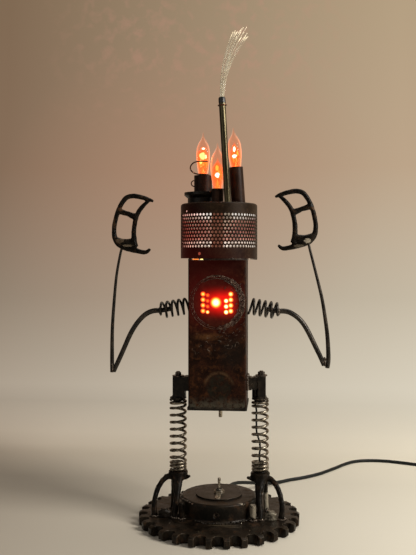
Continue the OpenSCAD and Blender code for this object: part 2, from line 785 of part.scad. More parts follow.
module chest_leds() {
    back = -torso_r + torso_wall + lens_t + board_gap;
    color("orangered") translate([0, back, chest_mid]) rotate([90, 0, 0]) {
        at_chest_holes() one_led();
        translate([chest_x, 0]) one_led();
    }
}

// A welded block on the torso's right side that the leg spring bears on, from inner to outer about
// the spring's axis, with its seat below and its stud's hole at stud_x
module leg_bracket(inner, outer, h, stud_x) {
    difference() {
        union() {
            translate([leg_x, 0, bracket_z]) cylinder(d = bracket_seat_d, h = bracket_seat_t);
            hull() {
                translate([leg_x, 0, bracket_z + bracket_seat_t - 0.5]) cylinder(d = bracket_seat_d - 3, h = 0.5);
                translate([leg_x - inner, -bracket_w / 2 + 1, bracket_z])
                    cube([inner + outer, bracket_w - 2, bracket_seat_t + 4]);
            }
            translate([leg_x - inner, -bracket_w / 2, bracket_z + bracket_seat_t])
                cube([inner + outer, bracket_w, h - bracket_seat_t]);
            translate([leg_x, 0, bracket_z - spigot_h]) cylinder(d = spigot_d, h = spigot_h);
            children();
        }
        translate([leg_x + stud_x, 0, bracket_z - 5]) cylinder(d = stud_d + 2 * thread_gap, h = far);
    }
}

module left_leg_bracket() {
    web_z = bracket_z + notch_h;
    color("dimgray") mirror([1, 0, 0]) leg_bracket(11.9, 7.9, bracket_h, 0)
        translate([torso_r, -bracket_w / 2, web_z])
            cube([leg_x - 11 - torso_r, bracket_w, bracket_z + bracket_h + 0.7 - web_z]);
}

// Lumps of weld that join the right bracket to the torso, as [out from the torso, up, radius]
RIGHT_LUMPS = [[4.6, 20.5, 5.2], [12, 21.5, 5.6], [5.2, 30.4, 5.5], [13, 30.8, 5.7]];

module right_leg_bracket() {
    color("dimgray") difference() {
        leg_bracket(3.7, 9, right_bracket_h, right_stud_x) {
            translate([lead_x, 0, bracket_z]) cylinder(d = 10, h = 22);
            intersection() {
                for (p = RIGHT_LUMPS) translate([torso_r + p[0], bracket_w / 2 - 1, bracket_z + p[1]])
                    rotate([90, 0, 0]) cylinder(r = p[2], h = bracket_w - 2, $fn = 20);
                translate([torso_r, -far / 2, 0]) cube(far);
            }
        }
        translate([lead_x, 0, bracket_z - 5]) cylinder(d = bracket_lead_d, h = lead_side_z - bracket_z + 5);
        translate([torso_r - 1, 0, lead_side_z]) rotate([0, 90, 0])
            cylinder(d = bracket_lead_d, h = lead_x - torso_r + 1);
        translate([lead_x, 0, lead_side_z]) sphere(d = bracket_lead_d, $fn = 24);
    }
}

module bracket_bolt(h, af) {
    top = bracket_z + h;
    translate([0, 0, bracket_z - 3]) cylinder(d = stud_d, h = h + 3 + stud_washer_t + stud_nut_h + 1.5);
    translate([0, 0, top]) cylinder(d = stud_washer_d, h = stud_washer_t);
    translate([0, 0, top + stud_washer_t]) hex_nut(af, stud_nut_h, 0);
}

module bracket_bolts() {
    color("gray") {
        translate([-leg_x, 0, 0]) bracket_bolt(bracket_h, stud_nut_af);
        translate([leg_x + right_stud_x, 0, 0]) bracket_bolt(right_bracket_h, right_nut_af);
    }
}

module dimmer_body() {
    color("darkslategray") translate([dimmer_x, 0, torso_z]) difference() {
        union() {
            cylinder(d = dimmer_body_d, h = dimmer_body_h);
            translate([0, 0, -sole_t - 1]) cylinder(d = dimmer_d + 4, h = sole_t + 1);
            translate([0, 0, -sole_t - 3]) hex_nut(dimmer_d + 7, 3, 0);
        }
        translate([0, 0, -far / 2]) cylinder(d = dimmer_bore_d, h = far / 2 + dimmer_body_h - 2);
    }
}

module dimmer_shaft() {
    low = torso_z - sole_t - dimmer_out;
    color("silver") translate([dimmer_x, 0, low]) difference() {
        union() {
            translate([0, 0, 1]) cylinder(d = dimmer_d, h = dimmer_len - 1);
            cylinder(d1 = dimmer_d - 2, d2 = dimmer_d, h = 1);
        }
        translate([-far / 2, dimmer_d / 2 - 1.5, -1]) cube([far, far, 8]);
    }
}

module terminal_block() {
    color("ivory") translate([-22, torso_r - torso_wall - 16, torso_z + 60]) difference() {
        cube([44, 16, 20]);
        for (x = [7:10:37]) {
            translate([x, -1, 14]) rotate([-90, 0, 0]) cylinder(d = 4, h = 9);
            translate([x, 8, -1]) cylinder(d = 3.4, h = 22);
        }
    }
}

module led_driver() {
    color("darkgreen") {
        translate([-25, torso_r - torso_wall - 8, torso_z + 95]) cube([50, 1.6, 60]);
        for (x = [-20, 20], z = [100, 150])
            translate([x, torso_r - torso_wall, torso_z + z]) rotate([90, 0, 0]) cylinder(d = 5, h = 6.4);
        translate([-16, torso_r - torso_wall - 24, torso_z + 103]) cube([20, 16, 18]);
        translate([12, torso_r - torso_wall - 8, torso_z + 112]) rotate([90, 0, 0]) cylinder(d = 10, h = 17);
        translate([0, torso_r - torso_wall - 8, torso_z + 138]) rotate([90, 0, 0]) cylinder(d = 12, h = 14);
    }
}

// ---------- head ----------

module neck_plate() {
    reach = head_r - 0.6;
    color("sienna") translate([0, 0, torso_top]) linear_extrude(neck_t) difference() {
        intersection() {
            translate([neck_left, -far / 2]) square([neck_right - neck_left, far]);
            circle(reach);
        }
        circle(d = nipple_d + 2 * thread_gap);
    }
}

// Weld beads that tie the drum's lower edge to the torso's left corners
module head_welds() {
    color("gray") for (y = [-1, 1]) translate([-torso_r + 3.5, y * (torso_r - 3.5), torso_top])
        cylinder(d1 = bead_d, d2 = bead_d - 2, h = neck_t);
}

function around(r, count) = [for (i = [0:count - 1])
    [r * cos((i + 0.5) * 360 / count), r * sin((i + 0.5) * 360 / count)]];

module drum_wall() {
    linear_extrude(head_h - head_edge_r) difference() {
        polygon(around(head_r, perf_count));
        polygon(around(head_r - head_wall, perf_count));
    }
}

// The turned in edge at the drum's top
module drum_edge() {
    rotate_extrude($fn = 96) translate([lip_r - head_edge_r, head_h - head_edge_r]) {
        intersection() {
            difference() {
                circle(head_edge_r);
                circle(head_edge_r - head_wall);
            }
            square(head_edge_r);
        }
        translate([-lip_w, head_edge_r - head_wall]) square([lip_w, head_wall]);
    }
}

module head_drum() {
    step = 360 / perf_count;
    color("dimgray") translate([0, 0, head_z]) difference() {
        union() {
            drum_wall();
            drum_edge();
        }
        for (row = [0:perf_rows - 1], i = [0:perf_count - 1]) rotate((i + (row % 2) / 2) * step)
            translate([head_r - 2 * head_wall, 0, perf_z + row * perf_pitch]) rotate([0, 90, 0])
                cylinder(d = perf_d, h = 3 * head_wall, $fn = 16);
        for (e = extra_holes) rotate(e[0]) translate([head_r - 2 * head_wall, 0, e[1]]) rotate([0, 90, 0])
            cylinder(d = e[2], h = 3 * head_wall, $fn = 16);
    }
}

module head_top_plate() {
    color("dimgray") translate([0, 0, seat_top - head_lid_t]) linear_extrude(head_lid_t) difference() {
        circle(head_r - head_edge_r - 0.4, $fn = 96);
        translate(front_at) circle(d = front_socket_d + 2 * thread_gap);
        translate(left_at) circle(d = nipple_d);
        translate(right_at) circle(d = nipple_d);
        translate([antenna_x, antenna_y]) circle(d = antenna_bore_d);
    }
}

module wire_nipple() {
    nuts = [torso_top - top_plate_t - nipple_nut_h, torso_top + neck_t];
    color("goldenrod") {
        difference() {
            translate([0, 0, torso_top - 20]) cylinder(d = nipple_d, h = 45);
            translate([0, 0, torso_top - 21]) cylinder(d = nipple_d - 3, h = 47);
        }
        for (z = nuts) translate([0, 0, z]) hex_nut(nipple_nut_af, nipple_nut_h, nipple_d);
    }
}

// ---------- flame bulbs ----------

// Radius of a bulb's glass at a share u of its length, with a point like a flame's
function flame_r(u) = u < 0.42
    ? glass_foot_r + (bulb_d / 2 - glass_foot_r) * sin(90 * u / 0.42)
    : bulb_d / 2 * pow(max(cos(90 * (u - 0.42) / 0.58), 0), 1.35) + 0.5 * (u - 0.42) / 0.58;
flame_steps = 14;
function flame_side(inset) = [for (i = [0:flame_steps]) let (u = i / flame_steps)
    [max(flame_r(u) - inset, 0.15), u * (bulb_len - inset)]];

module flame_glass() {
    outer = flame_side(0);
    inner = flame_side(glass_t);
    rotate_extrude($fn = 40) difference() {
        polygon(concat([[0, 0]], outer, [[0, bulb_len]]));
        polygon(concat([[0, glass_t]], [for (p = inner) [p[0], p[1] + glass_t]], [[0, bulb_len - glass_t]]));
    }
}

// Places its children at a socket's foot, turned with the socket
module at_left() {
    translate([left_at[0], left_at[1], seat_top]) children();
}

module at_right() {
    translate([right_at[0], right_at[1], seat_top]) rotate([0, -right_lean, 0]) children();
}

module at_front() {
    translate([front_at[0], front_at[1], seat_top]) children();
}

module each_bulb() {
    at_left() translate([0, 0, left_socket_h - glass_sink]) children();
    at_right() translate([0, 0, right_socket_h - right_glass_sink]) children();
    at_front() translate([0, 0, front_socket_h - front_glass_sink]) children();
}

module bulb_glasses() {
    color("orange", 0.5) each_bulb() flame_glass();
}

module bulb_caps() {
    color("silver") each_bulb() translate([0, 0, -cap_h]) {
        translate([0, 0, 2]) cylinder(d = cap_d, h = cap_h - 2);
        cylinder(d1 = 5, d2 = cap_d - 3, h = 2);
    }
}

// Two flame shaped plates on a pair of stems inside each glass
module bulb_electrodes() {
    plate = [[-5, 0], [-6.5, 4], [-5.5, 9], [-3, 13], [-1.5, 19], [0, 16], [1.5, 21], [2.5, 15], [5, 10],
        [6.5, 5], [5, 0]];
    color("orangered") each_bulb() {
        for (y = [-1.6, 1]) translate([0, y + 0.6, 17]) rotate([90, 0, 0]) linear_extrude(0.6) polygon(plate);
        for (y = [-1.3, 1.3]) translate([0, y, glass_t + 0.05]) cylinder(d = 1, h = 17.6, $fn = 16);
        translate([0, 0, glass_t + 0.05]) cylinder(d1 = 9, d2 = 5, h = 10);
    }
}

// A plain socket: a tube with a floor that the bulb's cap stands on
module socket(d, h, sink, wall) {
    floor_z = h - sink - cap_h;
    difference() {
        cylinder(d = d, h = h);
        translate([0, 0, floor_z]) cylinder(d = cap_d + 2 * cap_gap, h = far);
        translate([0, 0, h - sink - 0.5]) cylinder(d = d - 2 * wall, h = far);
        if (floor_z > 4) translate([0, 0, -1]) cylinder(d = d - 2 * wall, h = floor_z - 2);
    }
}

module lamp_cup() {
    color("dimgray") translate([cup_x, cup_y, seat_top]) difference() {
        rotate_extrude($fn = 64) polygon([[0, 0], [cup_low_r, 0], [cup_low_r, cup_h * 0.55],
            [cup_top_r, cup_h * 0.78], [cup_top_r, cup_h], [cup_top_r - cup_t, cup_h],
            [cup_top_r - cup_t, cup_h * 0.85], [cup_low_r - cup_t, cup_h * 0.62], [cup_low_r - cup_t, cup_t],
            [0, cup_t]]);
        translate([left_at[0] - cup_x, left_at[1] - cup_y, -1]) cylinder(d = nipple_d, h = cup_h);
    }
}

module left_socket() {
    color("saddlebrown") at_left() translate([0, 0, cup_t]) difference() {
        socket(left_socket_d, left_socket_h - cup_t, glass_sink, left_socket_wall);
        translate([left_socket_d / 2 - 1, -6, left_socket_h - cup_t - 4]) rotate([0, -30, 0]) cube(12);
    }
}

module right_socket() {
    color("saddlebrown") difference() {
        at_right() translate([0, 0, -3])
            socket(right_socket_d, right_socket_h + 3, right_glass_sink, right_socket_wall);
        translate([-far / 2, -far / 2, seat_top - far]) cube(far);
    }
}

// The front socket is a long tube that stands on the neck plate and passes through the lid
module front_socket() {
    drop = seat_top - head_z;
    color("saddlebrown") at_front() translate([0, 0, -drop])
        socket(front_socket_d, drop + front_socket_h, front_glass_sink, front_socket_wall);
}

// A copper wire that rests on the left socket's rim and springs up in front of its bulb, and a hook
module wire_loops() {
    rim = seat_top + left_socket_h + loop_wire_d / 2;
    loop = [for (p = WIRE_LOOP) [left_at[0] + p[0], left_at[1] + p[1], rim + p[2], loop_wire_d / 2]];
    hook_x = left_at[0] - left_socket_d / 2 - 0.1;
    hook = [for (a = [90:15:270]) [hook_x + hook_r * cos(a), left_at[1], rim - 13.5 + hook_r * sin(a),
        loop_wire_d / 2]];
    color("peru") {
        bar(smooth(loop, 2), 8, [0, 0, 1]);
        bar(hook, 8, [0, 1, 0]);
    }
}

// ---------- antenna ----------

module on_antenna() {
    translate([antenna_x, antenna_y, seat_top]) rotate([0, -antenna_lean, 0]) children();
}

module antenna_tube() {
    color("darkkhaki") difference() {
        on_antenna() translate([0, 0, -2]) disc_with_hole(antenna_d, antenna_len + 2, antenna_bore_d);
        translate([-far / 2, -far / 2, seat_top - far]) cube(far);
    }
}

module antenna_ferrule() {
    color("black") on_antenna() translate([0, 0, antenna_len]) difference() {
        rotate_extrude() polygon([[0, 0], [ferrule_d / 2, 0], [ferrule_d / 2, ferrule_h - 2],
            [ferrule_d / 2 - 1, ferrule_h], [0, ferrule_h]]);
        translate([0, 0, -1]) cylinder(d = antenna_bore_d, h = ferrule_h + 2);
    }
}

module antenna_collar() {
    color("chocolate") on_antenna() translate([0, 0, antenna_len - 3.5]) rotate_extrude()
        translate([(antenna_d + collar_wire_d) / 2 + collar_gap, 0]) circle(d = collar_wire_d, $fn = 20);
}

// Fibre k of the bundle: packed in rings in the ferrule, fanned out at the tips
fibre_spread = 10;
fibre_root = 12;          // how far the fibres reach down from the ferrule's top
pack_r = 2.9;
fibre_spots = concat([[0, 0]], [for (i = [0:5]) 1.5 * [cos(60 * i), sin(60 * i)]],
    [for (i = [0:11]) pack_r * [cos(30 * i + 15), sin(30 * i + 15)]]);
function fibre_point(spot, k, t) =
    let (reach = plume_h * (0.86 + 0.14 * cos(137 * k)), fan = fibre_spread * pow(t, 1.7) / pack_r)
    [spot[0] * (1 + fan) + reach * 0.36 * pow(t, 1.8), spot[1] * (1 + fan),
        fibre_root + reach * t * (1 - 0.04 * t), fibre_d / 2];

module fibre_plume() {
    color("lightcyan") on_antenna() translate([0, 0, antenna_len + ferrule_h - fibre_root])
        for (k = [0:len(fibre_spots) - 1])
            bar(concat([[fibre_spots[k][0], fibre_spots[k][1], 0, fibre_d / 2]],
                [for (s = [0:6]) fibre_point(fibre_spots[k], k, s / 6)]), 5, [0, 1, 0]);
}

module fibre_lamp() {
    color("white") translate([antenna_x, antenna_y, seat_top - head_lid_t - fibre_lamp_h])
        cylinder(d = fibre_lamp_d, h = fibre_lamp_h);
}

// ---------- arms ----------

// Places its children with +Z along a shoulder spring's axis, for the right side
module at_shoulder() {
    translate([torso_r, 0, torso_z + shoulder_z]) rotate([0, 90 + shoulder_slope, 0]) children();
}

shoulder_steps = 12;
// The spring's wire after t turns; its last half turn closes in on the rod
function shoulder_point(t) =
    let (last = shoulder_turns - 0.5, r_end = rod_r + shoulder_wire / 2 + 0.2,
        r = t < last ? shoulder_coil_r : shoulder_coil_r + (r_end - shoulder_coil_r) * (t - last) * 2)
    [r * cos(360 * t), r * sin(360 * t), shoulder_start + t * shoulder_pitch, shoulder_wire / 2];

// Two close points at each end of the wire keep its cut ends square
module shoulder_coil(from, to) {
    count = round((to - from) * shoulder_steps);
    turns = concat([from, from + 0.01], [for (i = [1:count - 1]) from + (to - from) * i / count],
        [to - 0.01, to]);
    bar([for (t = turns) shoulder_point(t)], wire_sides, [0, 0, 1]);
}

part_turn = wire_part_gap / (2 * PI * shoulder_coil_r);

module shoulder_spring_roots() {
    color("dimgray") for (side = [0, 1]) mirror([side, 0, 0]) at_shoulder() shoulder_coil(0, pivot_turn);
}

module shoulder_spring() {
    at_shoulder() shoulder_coil(pivot_turn + part_turn, shoulder_turns);
}

module left_shoulder_spring() {
    color("dimgray") mirror([1, 0, 0]) shoulder_spring();
}

module right_shoulder_spring() {
    color("dimgray") shoulder_spring();
}

module arm_rod(side, points) {
    bar(smooth([for (p = points) [side * p[0], 0, p[1], p[2]]], 2), 10, [0, 1, 0]);
}

// Each rod is cut where it is welded to the next piece, so that they meet face to face
module left_upper_arm() {
    color("dimgray") difference() {
        arm_rod(-1, LEFT_UPPER);
        arm_rod(-1, LEFT_FOREARM);
    }
}

module right_upper_arm() {
    color("dimgray") difference() {
        arm_rod(1, RIGHT_UPPER);
        arm_rod(1, RIGHT_FOREARM);
    }
}

module left_forearm() {
    color("dimgray") difference() {
        arm_rod(-1, LEFT_FOREARM);
        hand_rim(-1, LEFT_HAND_AT);
        hand_line(-1, LEFT_HAND_AT, HAND_WEB);
    }
}

module right_forearm() {
    color("dimgray") difference() {
        arm_rod(1, RIGHT_FOREARM);
        hand_rim(1, RIGHT_HAND_AT);
        hand_line(1, RIGHT_HAND_AT, HAND_WEB);
    }
}

module hand_line(side, at, line) {
    bar(smooth([for (p = line) [at[0] + side * p[0], 0, at[1] + p[1], p[2]]], 2), 8, [0, 1, 0]);
}

module hand_rim(side, at) {
    hand_line(side, at, HAND_RIM);
}

// A cast cage hand: an open rim, an inner rib, a cross bar and a low web; side is 1 on the right
module hand(side, at) {
    hand_rim(side, at);
    hand_line(side, at, HAND_INNER);
    hand_line(side, at, HAND_BAR);
    hand_line(side, at, HAND_WEB);
}

module left_hand() {
    color("dimgray") hand(-1, LEFT_HAND_AT);
}

module right_hand() {
    color("dimgray") difference() {
        hand(1, RIGHT_HAND_AT);
        hull() for (p = HAND_CORE) translate([RIGHT_HAND_AT[0] + p[0], 0, RIGHT_HAND_AT[1] + p[1]])
            rotate([90, 0, 0]) cylinder(r = core_r, h = 40, center = true, $fn = 12);
    }
}

sprocket_base();
set_screw();
switch_plate();
switch_body();
switch_nut();
switch_tag();
toggle_lever();
left_foot();
right_foot();
foot_bolts();
left_leg_spring();
right_leg_spring();
cord_gland();
mains_cord();
cord_coil();
cord_tail();
mains_plug();
hub_lead();
leg_lead();
torso_box();
torso_sole();
torso_top_plate();
chest_ring();
chest_lens();
chest_board();
chest_leds();
left_leg_bracket();
right_leg_bracket();
bracket_bolts();
dimmer_body();
dimmer_shaft();
terminal_block();
led_driver();
neck_plate();
head_welds();
head_drum();
head_top_plate();
wire_nipple();
lamp_cup();
left_socket();
right_socket();
front_socket();
bulb_glasses();
bulb_caps();
bulb_electrodes();
wire_loops();
antenna_tube();
antenna_ferrule();
antenna_collar();
fibre_plume();
fibre_lamp();
shoulder_spring_roots();
left_shoulder_spring();
left_upper_arm();
left_forearm();
left_hand();
right_shoulder_spring();
right_upper_arm();
right_forearm();
right_hand();
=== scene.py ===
import json
import math
import random

import bmesh
import bpy
import numpy as np
from mathutils import Matrix, Vector, noise

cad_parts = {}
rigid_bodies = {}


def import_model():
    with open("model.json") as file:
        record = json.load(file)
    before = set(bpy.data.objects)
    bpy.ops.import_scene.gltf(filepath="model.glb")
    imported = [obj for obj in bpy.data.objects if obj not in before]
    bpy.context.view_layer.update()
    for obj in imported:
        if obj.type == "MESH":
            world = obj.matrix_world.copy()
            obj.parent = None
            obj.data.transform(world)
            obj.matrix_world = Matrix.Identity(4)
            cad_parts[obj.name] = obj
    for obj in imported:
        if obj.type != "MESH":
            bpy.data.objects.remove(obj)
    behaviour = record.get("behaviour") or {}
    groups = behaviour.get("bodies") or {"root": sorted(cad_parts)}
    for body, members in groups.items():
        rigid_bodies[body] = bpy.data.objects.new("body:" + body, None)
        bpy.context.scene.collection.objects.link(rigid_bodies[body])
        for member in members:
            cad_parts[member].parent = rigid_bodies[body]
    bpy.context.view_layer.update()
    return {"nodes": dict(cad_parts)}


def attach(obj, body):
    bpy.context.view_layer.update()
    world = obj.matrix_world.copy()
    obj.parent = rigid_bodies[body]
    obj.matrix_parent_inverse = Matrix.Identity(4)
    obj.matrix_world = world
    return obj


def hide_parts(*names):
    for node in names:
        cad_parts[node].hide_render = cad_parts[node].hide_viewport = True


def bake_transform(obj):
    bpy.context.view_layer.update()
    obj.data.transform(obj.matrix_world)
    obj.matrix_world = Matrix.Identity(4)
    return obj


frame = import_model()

bl_info = {
    "name": "Robot desk lamp",
    "version": (1, 0, 0),
    "blender": (4, 5, 0),
    "location": "3D View > Sidebar > Robot lamp",
    "description": "Dresses a desk lamp that is welded up from machine scrap in the shape of a robot",
    "category": "Object",
}

MM = 0.001
SIDES = ((-1, "left"), (1, "right"))

# ---------- the picture that the camera takes, in pixels ----------

FRAME_TALL_PX, FOCAL_PX, HORIZON_RISE_PX = 555.0, 775.0, 19.5

# ---------- sizes that the pieces share, in millimetres ----------

LEG_X, FOOT_TOP, SPRING_TOP = 66.0, 79.0, 195.0
SPRING_R, LEG_WIRE, ARM_WIRE = 12.0, 2.15, 2.0
TORSO_LOW, TORSO_HALF = 188.6, 45.0
CHEST = (-1.5, 352.0)
HOLE_PITCH, CHEST_EYE_R = 8.7, 9.8
HEAD_LOW, HEAD_HIGH, HEAD_R, HEAD_WALL = 420.4, 507.4, 61.4, 1.8
SEAT = HEAD_HIGH - HEAD_WALL
SHOULDER = (45.0, 345.0, 10.0)
LEFT_BULB, RIGHT_BULB, FRONT_BULB = (-26, 4), (31, 8), (0, -31)
CUP_TALL, FLAME_TALL, GLASS_WALL = 48.2, 73.5, 0.8
ANTENNA, ANTENNA_LEAN, ANTENNA_LEN = (16.8, -43), 3.2, 155.8

CORD_ROUTE = [(12, 90, 28), (15, 106, 27), (23, 124, 24.5), (34, 141, 20.5), (48, 158, 15.5), (64, 175, 10.5),
              (81, 192, 6), (98, 209, 3.5), (119, 228, 3), (147, 247, 3), (177, 275, 3), (208, 316, 3),
              (229, 346, 3), (247, 366, 3), (266, 377, 3), (289, 381, 3), (317, 379, 3), (345, 370, 3),
              (374, 358, 3), (402, 351, 3), (430, 349, 3)]
TAIL_ROUTE = [(430, 355, 9), (448, 353.4, 8.2), (468, 347.6, 6), (486, 339.2, 4.6), (500, 330.3, 6.2),
              (508.2, 325.5, 7), (516, 321, 7)]
CORD_R, LEAD_R, COIL_AT, COIL_R = 3.0, 1.5, (430, 315.5), 30.5
PLUG_AT, PLUG_TURN = (516, 321), -30.0
HUB_LEAD = [(26, 0, 26), (45, 0, 26), (58, 0, 26.5), (63.5, 0, 31), (66, 0, 42), (66, 0, 60), (66, 0, 80)]
LEG_LEAD = [(66, 0, 80), (66, 0, 87), (65, -1, 96), (65, -2, 108), (66, -2, 118), (64.5, -1, 129),
            (60.5, 0, 142), (60, 0, 156), (60, 0, 170), (60, 0, 178), (58.2, 0, 187), (58, 0, 195),
            (58, 0, 205), (58, 0, 212), (58, 0, 216.5), (57, 0, 220), (53.5, 0, 221), (47, 0, 221),
            (38, 0, 221)]
LEFT_UPPER = [(77, 339.3, 4), (86, 337.8, 4), (95, 336.2, 4), (103, 336, 4.2), (112, 333.8, 4.2),
              (121, 328.5, 4.1), (129, 320.5, 4), (137, 310, 4), (145, 296, 4), (153, 278, 3.9),
              (161, 260, 3.9), (168, 245, 3.8), (171.5, 237, 3.6)]
RIGHT_UPPER = [(77, 339.3, 4), (86, 337.8, 4), (95, 336.2, 4), (103, 336.4, 4.2), (111, 335, 4.2),
               (119, 331, 4.1), (127, 325, 4), (134.5, 316.5, 4), (141.5, 305, 4), (148, 292, 3.9),
               (155, 277.5, 3.9), (161.5, 264, 3.8), (167, 251, 3.6)]
LEFT_FOREARM = [(174, 236, 3.4), (174.3, 262, 3.3), (173.8, 306, 2.9), (171, 349, 2.6), (167, 392, 2.3),
                (161, 426, 2.1), (157.5, 439, 2)]
RIGHT_FOREARM = [(172.3, 247, 3.6), (174, 262, 3.6), (172.6, 295, 3.3), (169, 325, 3), (164, 356, 2.7),
                 (157, 386, 2.4), (149, 418, 2.2), (144.5, 436, 2.1), (142.5, 446, 2)]
HAND_RIM = [(-54, 83, 2.2), (-46, 86.5, 3.4), (-34, 90, 4), (-21, 92, 4.2), (-10, 89, 4.2), (-1, 77, 4),
            (5, 63, 3.9), (8.5, 49, 3.9), (10, 36, 4), (8.5, 24, 4.6), (2, 14.5, 5.4), (-8, 9.5, 6),
            (-21, 5, 5), (-34, 1.5, 4), (-43, 1, 3.4), (-49, 6, 2.2)]
HAND_INNER = [(-47, 84, 2.6), (-41, 79, 3.4), (-34, 71.5, 3.8), (-28.5, 63, 4), (-25.5, 54, 4),
              (-23.5, 44, 4), (-22.5, 33, 4.2), (-23, 21, 4.6), (-25, 10, 5)]
HAND_BAR = [(2, 68, 5), (-5, 65.5, 4.6), (-12, 63.5, 4.2), (-19, 60.5, 5), (-26, 58, 5.5)]
HAND_WEB = [(7, 22, 4.5), (0, 18.5, 5.5), (-8, 16.5, 6), (-17, 17, 6), (-24, 18, 5)]
LEFT_HAND_AT, RIGHT_HAND_AT = (-161, 429.5), (144, 435.5)
WIRE_LOOP = [(10.2, -8, 0), (6, -11.6, 0), (0, -13, 0), (-6.5, -11.6, 0.3), (-12.5, -10.6, 1.8),
             (-17.6, -10.1, 5.4), (-19.6, -10, 10), (-18, -11, 15), (-13.5, -12.4, 18.8), (-6.5, -13.5, 20.4),
             (1.5, -13.8, 20.6), (8.6, -13, 20)]


# ---------- what a user would change ----------

class LampColours(bpy.types.PropertyGroup):
    """Finishes of the lamp"""
    iron: bpy.props.FloatVectorProperty(
        name="Oiled iron", description="Main tone of the oiled cast iron", subtype="COLOR", size=3,
        min=0, max=1, default=(0.0135, 0.0095, 0.0061))
    steel: bpy.props.FloatVectorProperty(
        name="Torso steel", description="Main tone of the rusted torso", subtype="COLOR", size=3,
        min=0, max=1, default=(0.0155, 0.0044, 0.0016))
    rust: bpy.props.FloatVectorProperty(
        name="Rust", description="Tone of the rust patches", subtype="COLOR", size=3,
        min=0, max=1, default=(0.045, 0.0155, 0.0048))
    flame: bpy.props.FloatVectorProperty(
        name="Flame", description="Colour of the light in the flame bulbs", subtype="COLOR", size=3,
        min=0, max=1, default=(1.0, 0.085, 0.008))
    chest: bpy.props.FloatVectorProperty(
        name="Chest light", description="Colour of the light in the chest", subtype="COLOR", size=3,
        min=0, max=1, default=(1.0, 0.006, 0.003))


class LampSizes(bpy.types.PropertyGroup):
    """Sizes of the dressed pieces"""
    weld_width: bpy.props.FloatProperty(
        name="Weld width", description="Width of a common weld bead", subtype="DISTANCE", unit="LENGTH",
        min=0.002, max=0.008, default=0.0034)
    perforation: bpy.props.FloatProperty(
        name="Perforation", description="Diameter of a hole in the head", subtype="DISTANCE", unit="LENGTH",
        min=0.002, max=0.0038, default=0.0038)
    fibre: bpy.props.FloatProperty(
        name="Fibre", description="Diameter of a glass fibre", subtype="DISTANCE", unit="LENGTH",
        min=0.0003, max=0.0012, default=0.00045)
    fibres: bpy.props.IntProperty(name="Fibres", description="Number of fibres in the plume", min=8,
                                  max=120, default=24)
    roughness: bpy.props.FloatProperty(
        name="Casting roughness", description="Height of the lumps on cast pieces", subtype="DISTANCE",
        unit="LENGTH", min=0, max=0.001, default=0.00035)


# ---------- helpers for node trees ----------

def feed(node, ins):
    """Sets or links a node's inputs."""
    for key, value in ins.items():
        value = getattr(value, "socket", value)
        if isinstance(value, bpy.types.NodeSocket):
            node.id_data.links.new(value, node.inputs[key])
        else:
            node.inputs[key].default_value = value
    return node


def put(tree, kind, ins=None, **fields):
    """Adds a node, sets its fields, and sets or links its inputs."""
    node = tree.nodes.new(kind)
    for key, value in fields.items():
        setattr(node, key, value)
    return feed(node, ins or {})


def beside(*values):
    """The node tree of the first value that comes from a node."""
    sockets = [getattr(v, "socket", v) for v in values]
    return next(s.id_data for s in sockets if isinstance(s, bpy.types.NodeSocket))


def calc(what, *values):
    """A Math node on values, of which at least one comes from a node."""
    return Num(put(beside(*values), "ShaderNodeMath", dict(enumerate(values)), operation=what).outputs[0])


class Num:
    """A number that comes from a node; sums with it make Math nodes."""

    def __init__(self, socket):
        self.socket = socket

    def run(self, low, high, to_low=0.0, to_high=1.0):
        """Maps the run from low to high onto another one, and stops at its ends."""
        ins = dict(enumerate((self, low, high, to_low, to_high)))
        return Num(put(self.socket.id_data, "ShaderNodeMapRange", ins).outputs[0])

    __add__ = __radd__ = lambda a, b: calc("ADD", a, b)
    __mul__ = __rmul__ = lambda a, b: calc("MULTIPLY", a, b)
    __sub__ = lambda a, b: calc("SUBTRACT", a, b)
    __rsub__ = lambda a, b: calc("SUBTRACT", b, a)
    __truediv__ = lambda a, b: calc("DIVIDE", a, b)
    __pow__ = lambda a, b: calc("POWER", a, b)
    __mod__ = lambda a, b: calc("MODULO", a, b)
    __lt__ = lambda a, b: calc("LESS_THAN", a, b)
    __abs__ = lambda a: calc("ABSOLUTE", a)


def ramp(value, stops):
    node = put(beside(value), "ShaderNodeValToRGB", {"Fac": value})
    marks = node.color_ramp.elements
    for mark, (at, colour) in zip(marks, (stops[0], stops[-1])):
        mark.position, mark.color = at, (*colour, 1)
    for at, colour in stops[1:-1]:
        marks.new(at).color = (*colour, 1)
    return node.outputs["Color"]


def mix(share, a, b, how="MIX"):
    ins = {0: share, 6: a, 7: b}
    return put(beside(share, a, b), "ShaderNodeMix", ins, data_type="RGBA", blend_type=how).outputs[2]


def speckle(co, size, detail=6.0, rough=0.6, warp=0.0):
    ins = {"Vector": co, "Scale": 1 / size, "Detail": detail, "Roughness": rough, "Distortion": warp}
    return Num(put(beside(co), "ShaderNodeTexNoise", ins).outputs["Fac"])


def vector(what, a, b=(0, 0, 0), result="Vector"):
    return put(beside(a, b), "ShaderNodeVectorMath", {0: a, 1: b}, operation=what).outputs[result]


def dot(a, b):
    return Num(vector("DOT_PRODUCT", a, b, "Value"))


def split(co):
    return [Num(axis) for axis in put(beside(co), "ShaderNodeSeparateXYZ", {0: co}).outputs]


def gather(x=0.0, y=0.0, z=0.0):
    return put(beside(x, y, z), "ShaderNodeCombineXYZ", {0: x, 1: y, 2: z}).outputs[0]


def scaled(a, by):
    return put(beside(a), "ShaderNodeVectorMath", {0: a, "Scale": by}, operation="SCALE").outputs[0]


def span(x, y):
    """The length of a step across and a step up."""
    return calc("SQRT", x * x + y * y)


def round_z(r, angle, z=0.0):
    """A place at a radius and an angle about Z."""
    return gather(r * calc("COSINE", angle), r * calc("SINE", angle), z)


def warmth(tree):
    return Num(put(tree, "ShaderNodeAttribute", attribute_name="warmth").outputs["Fac"])


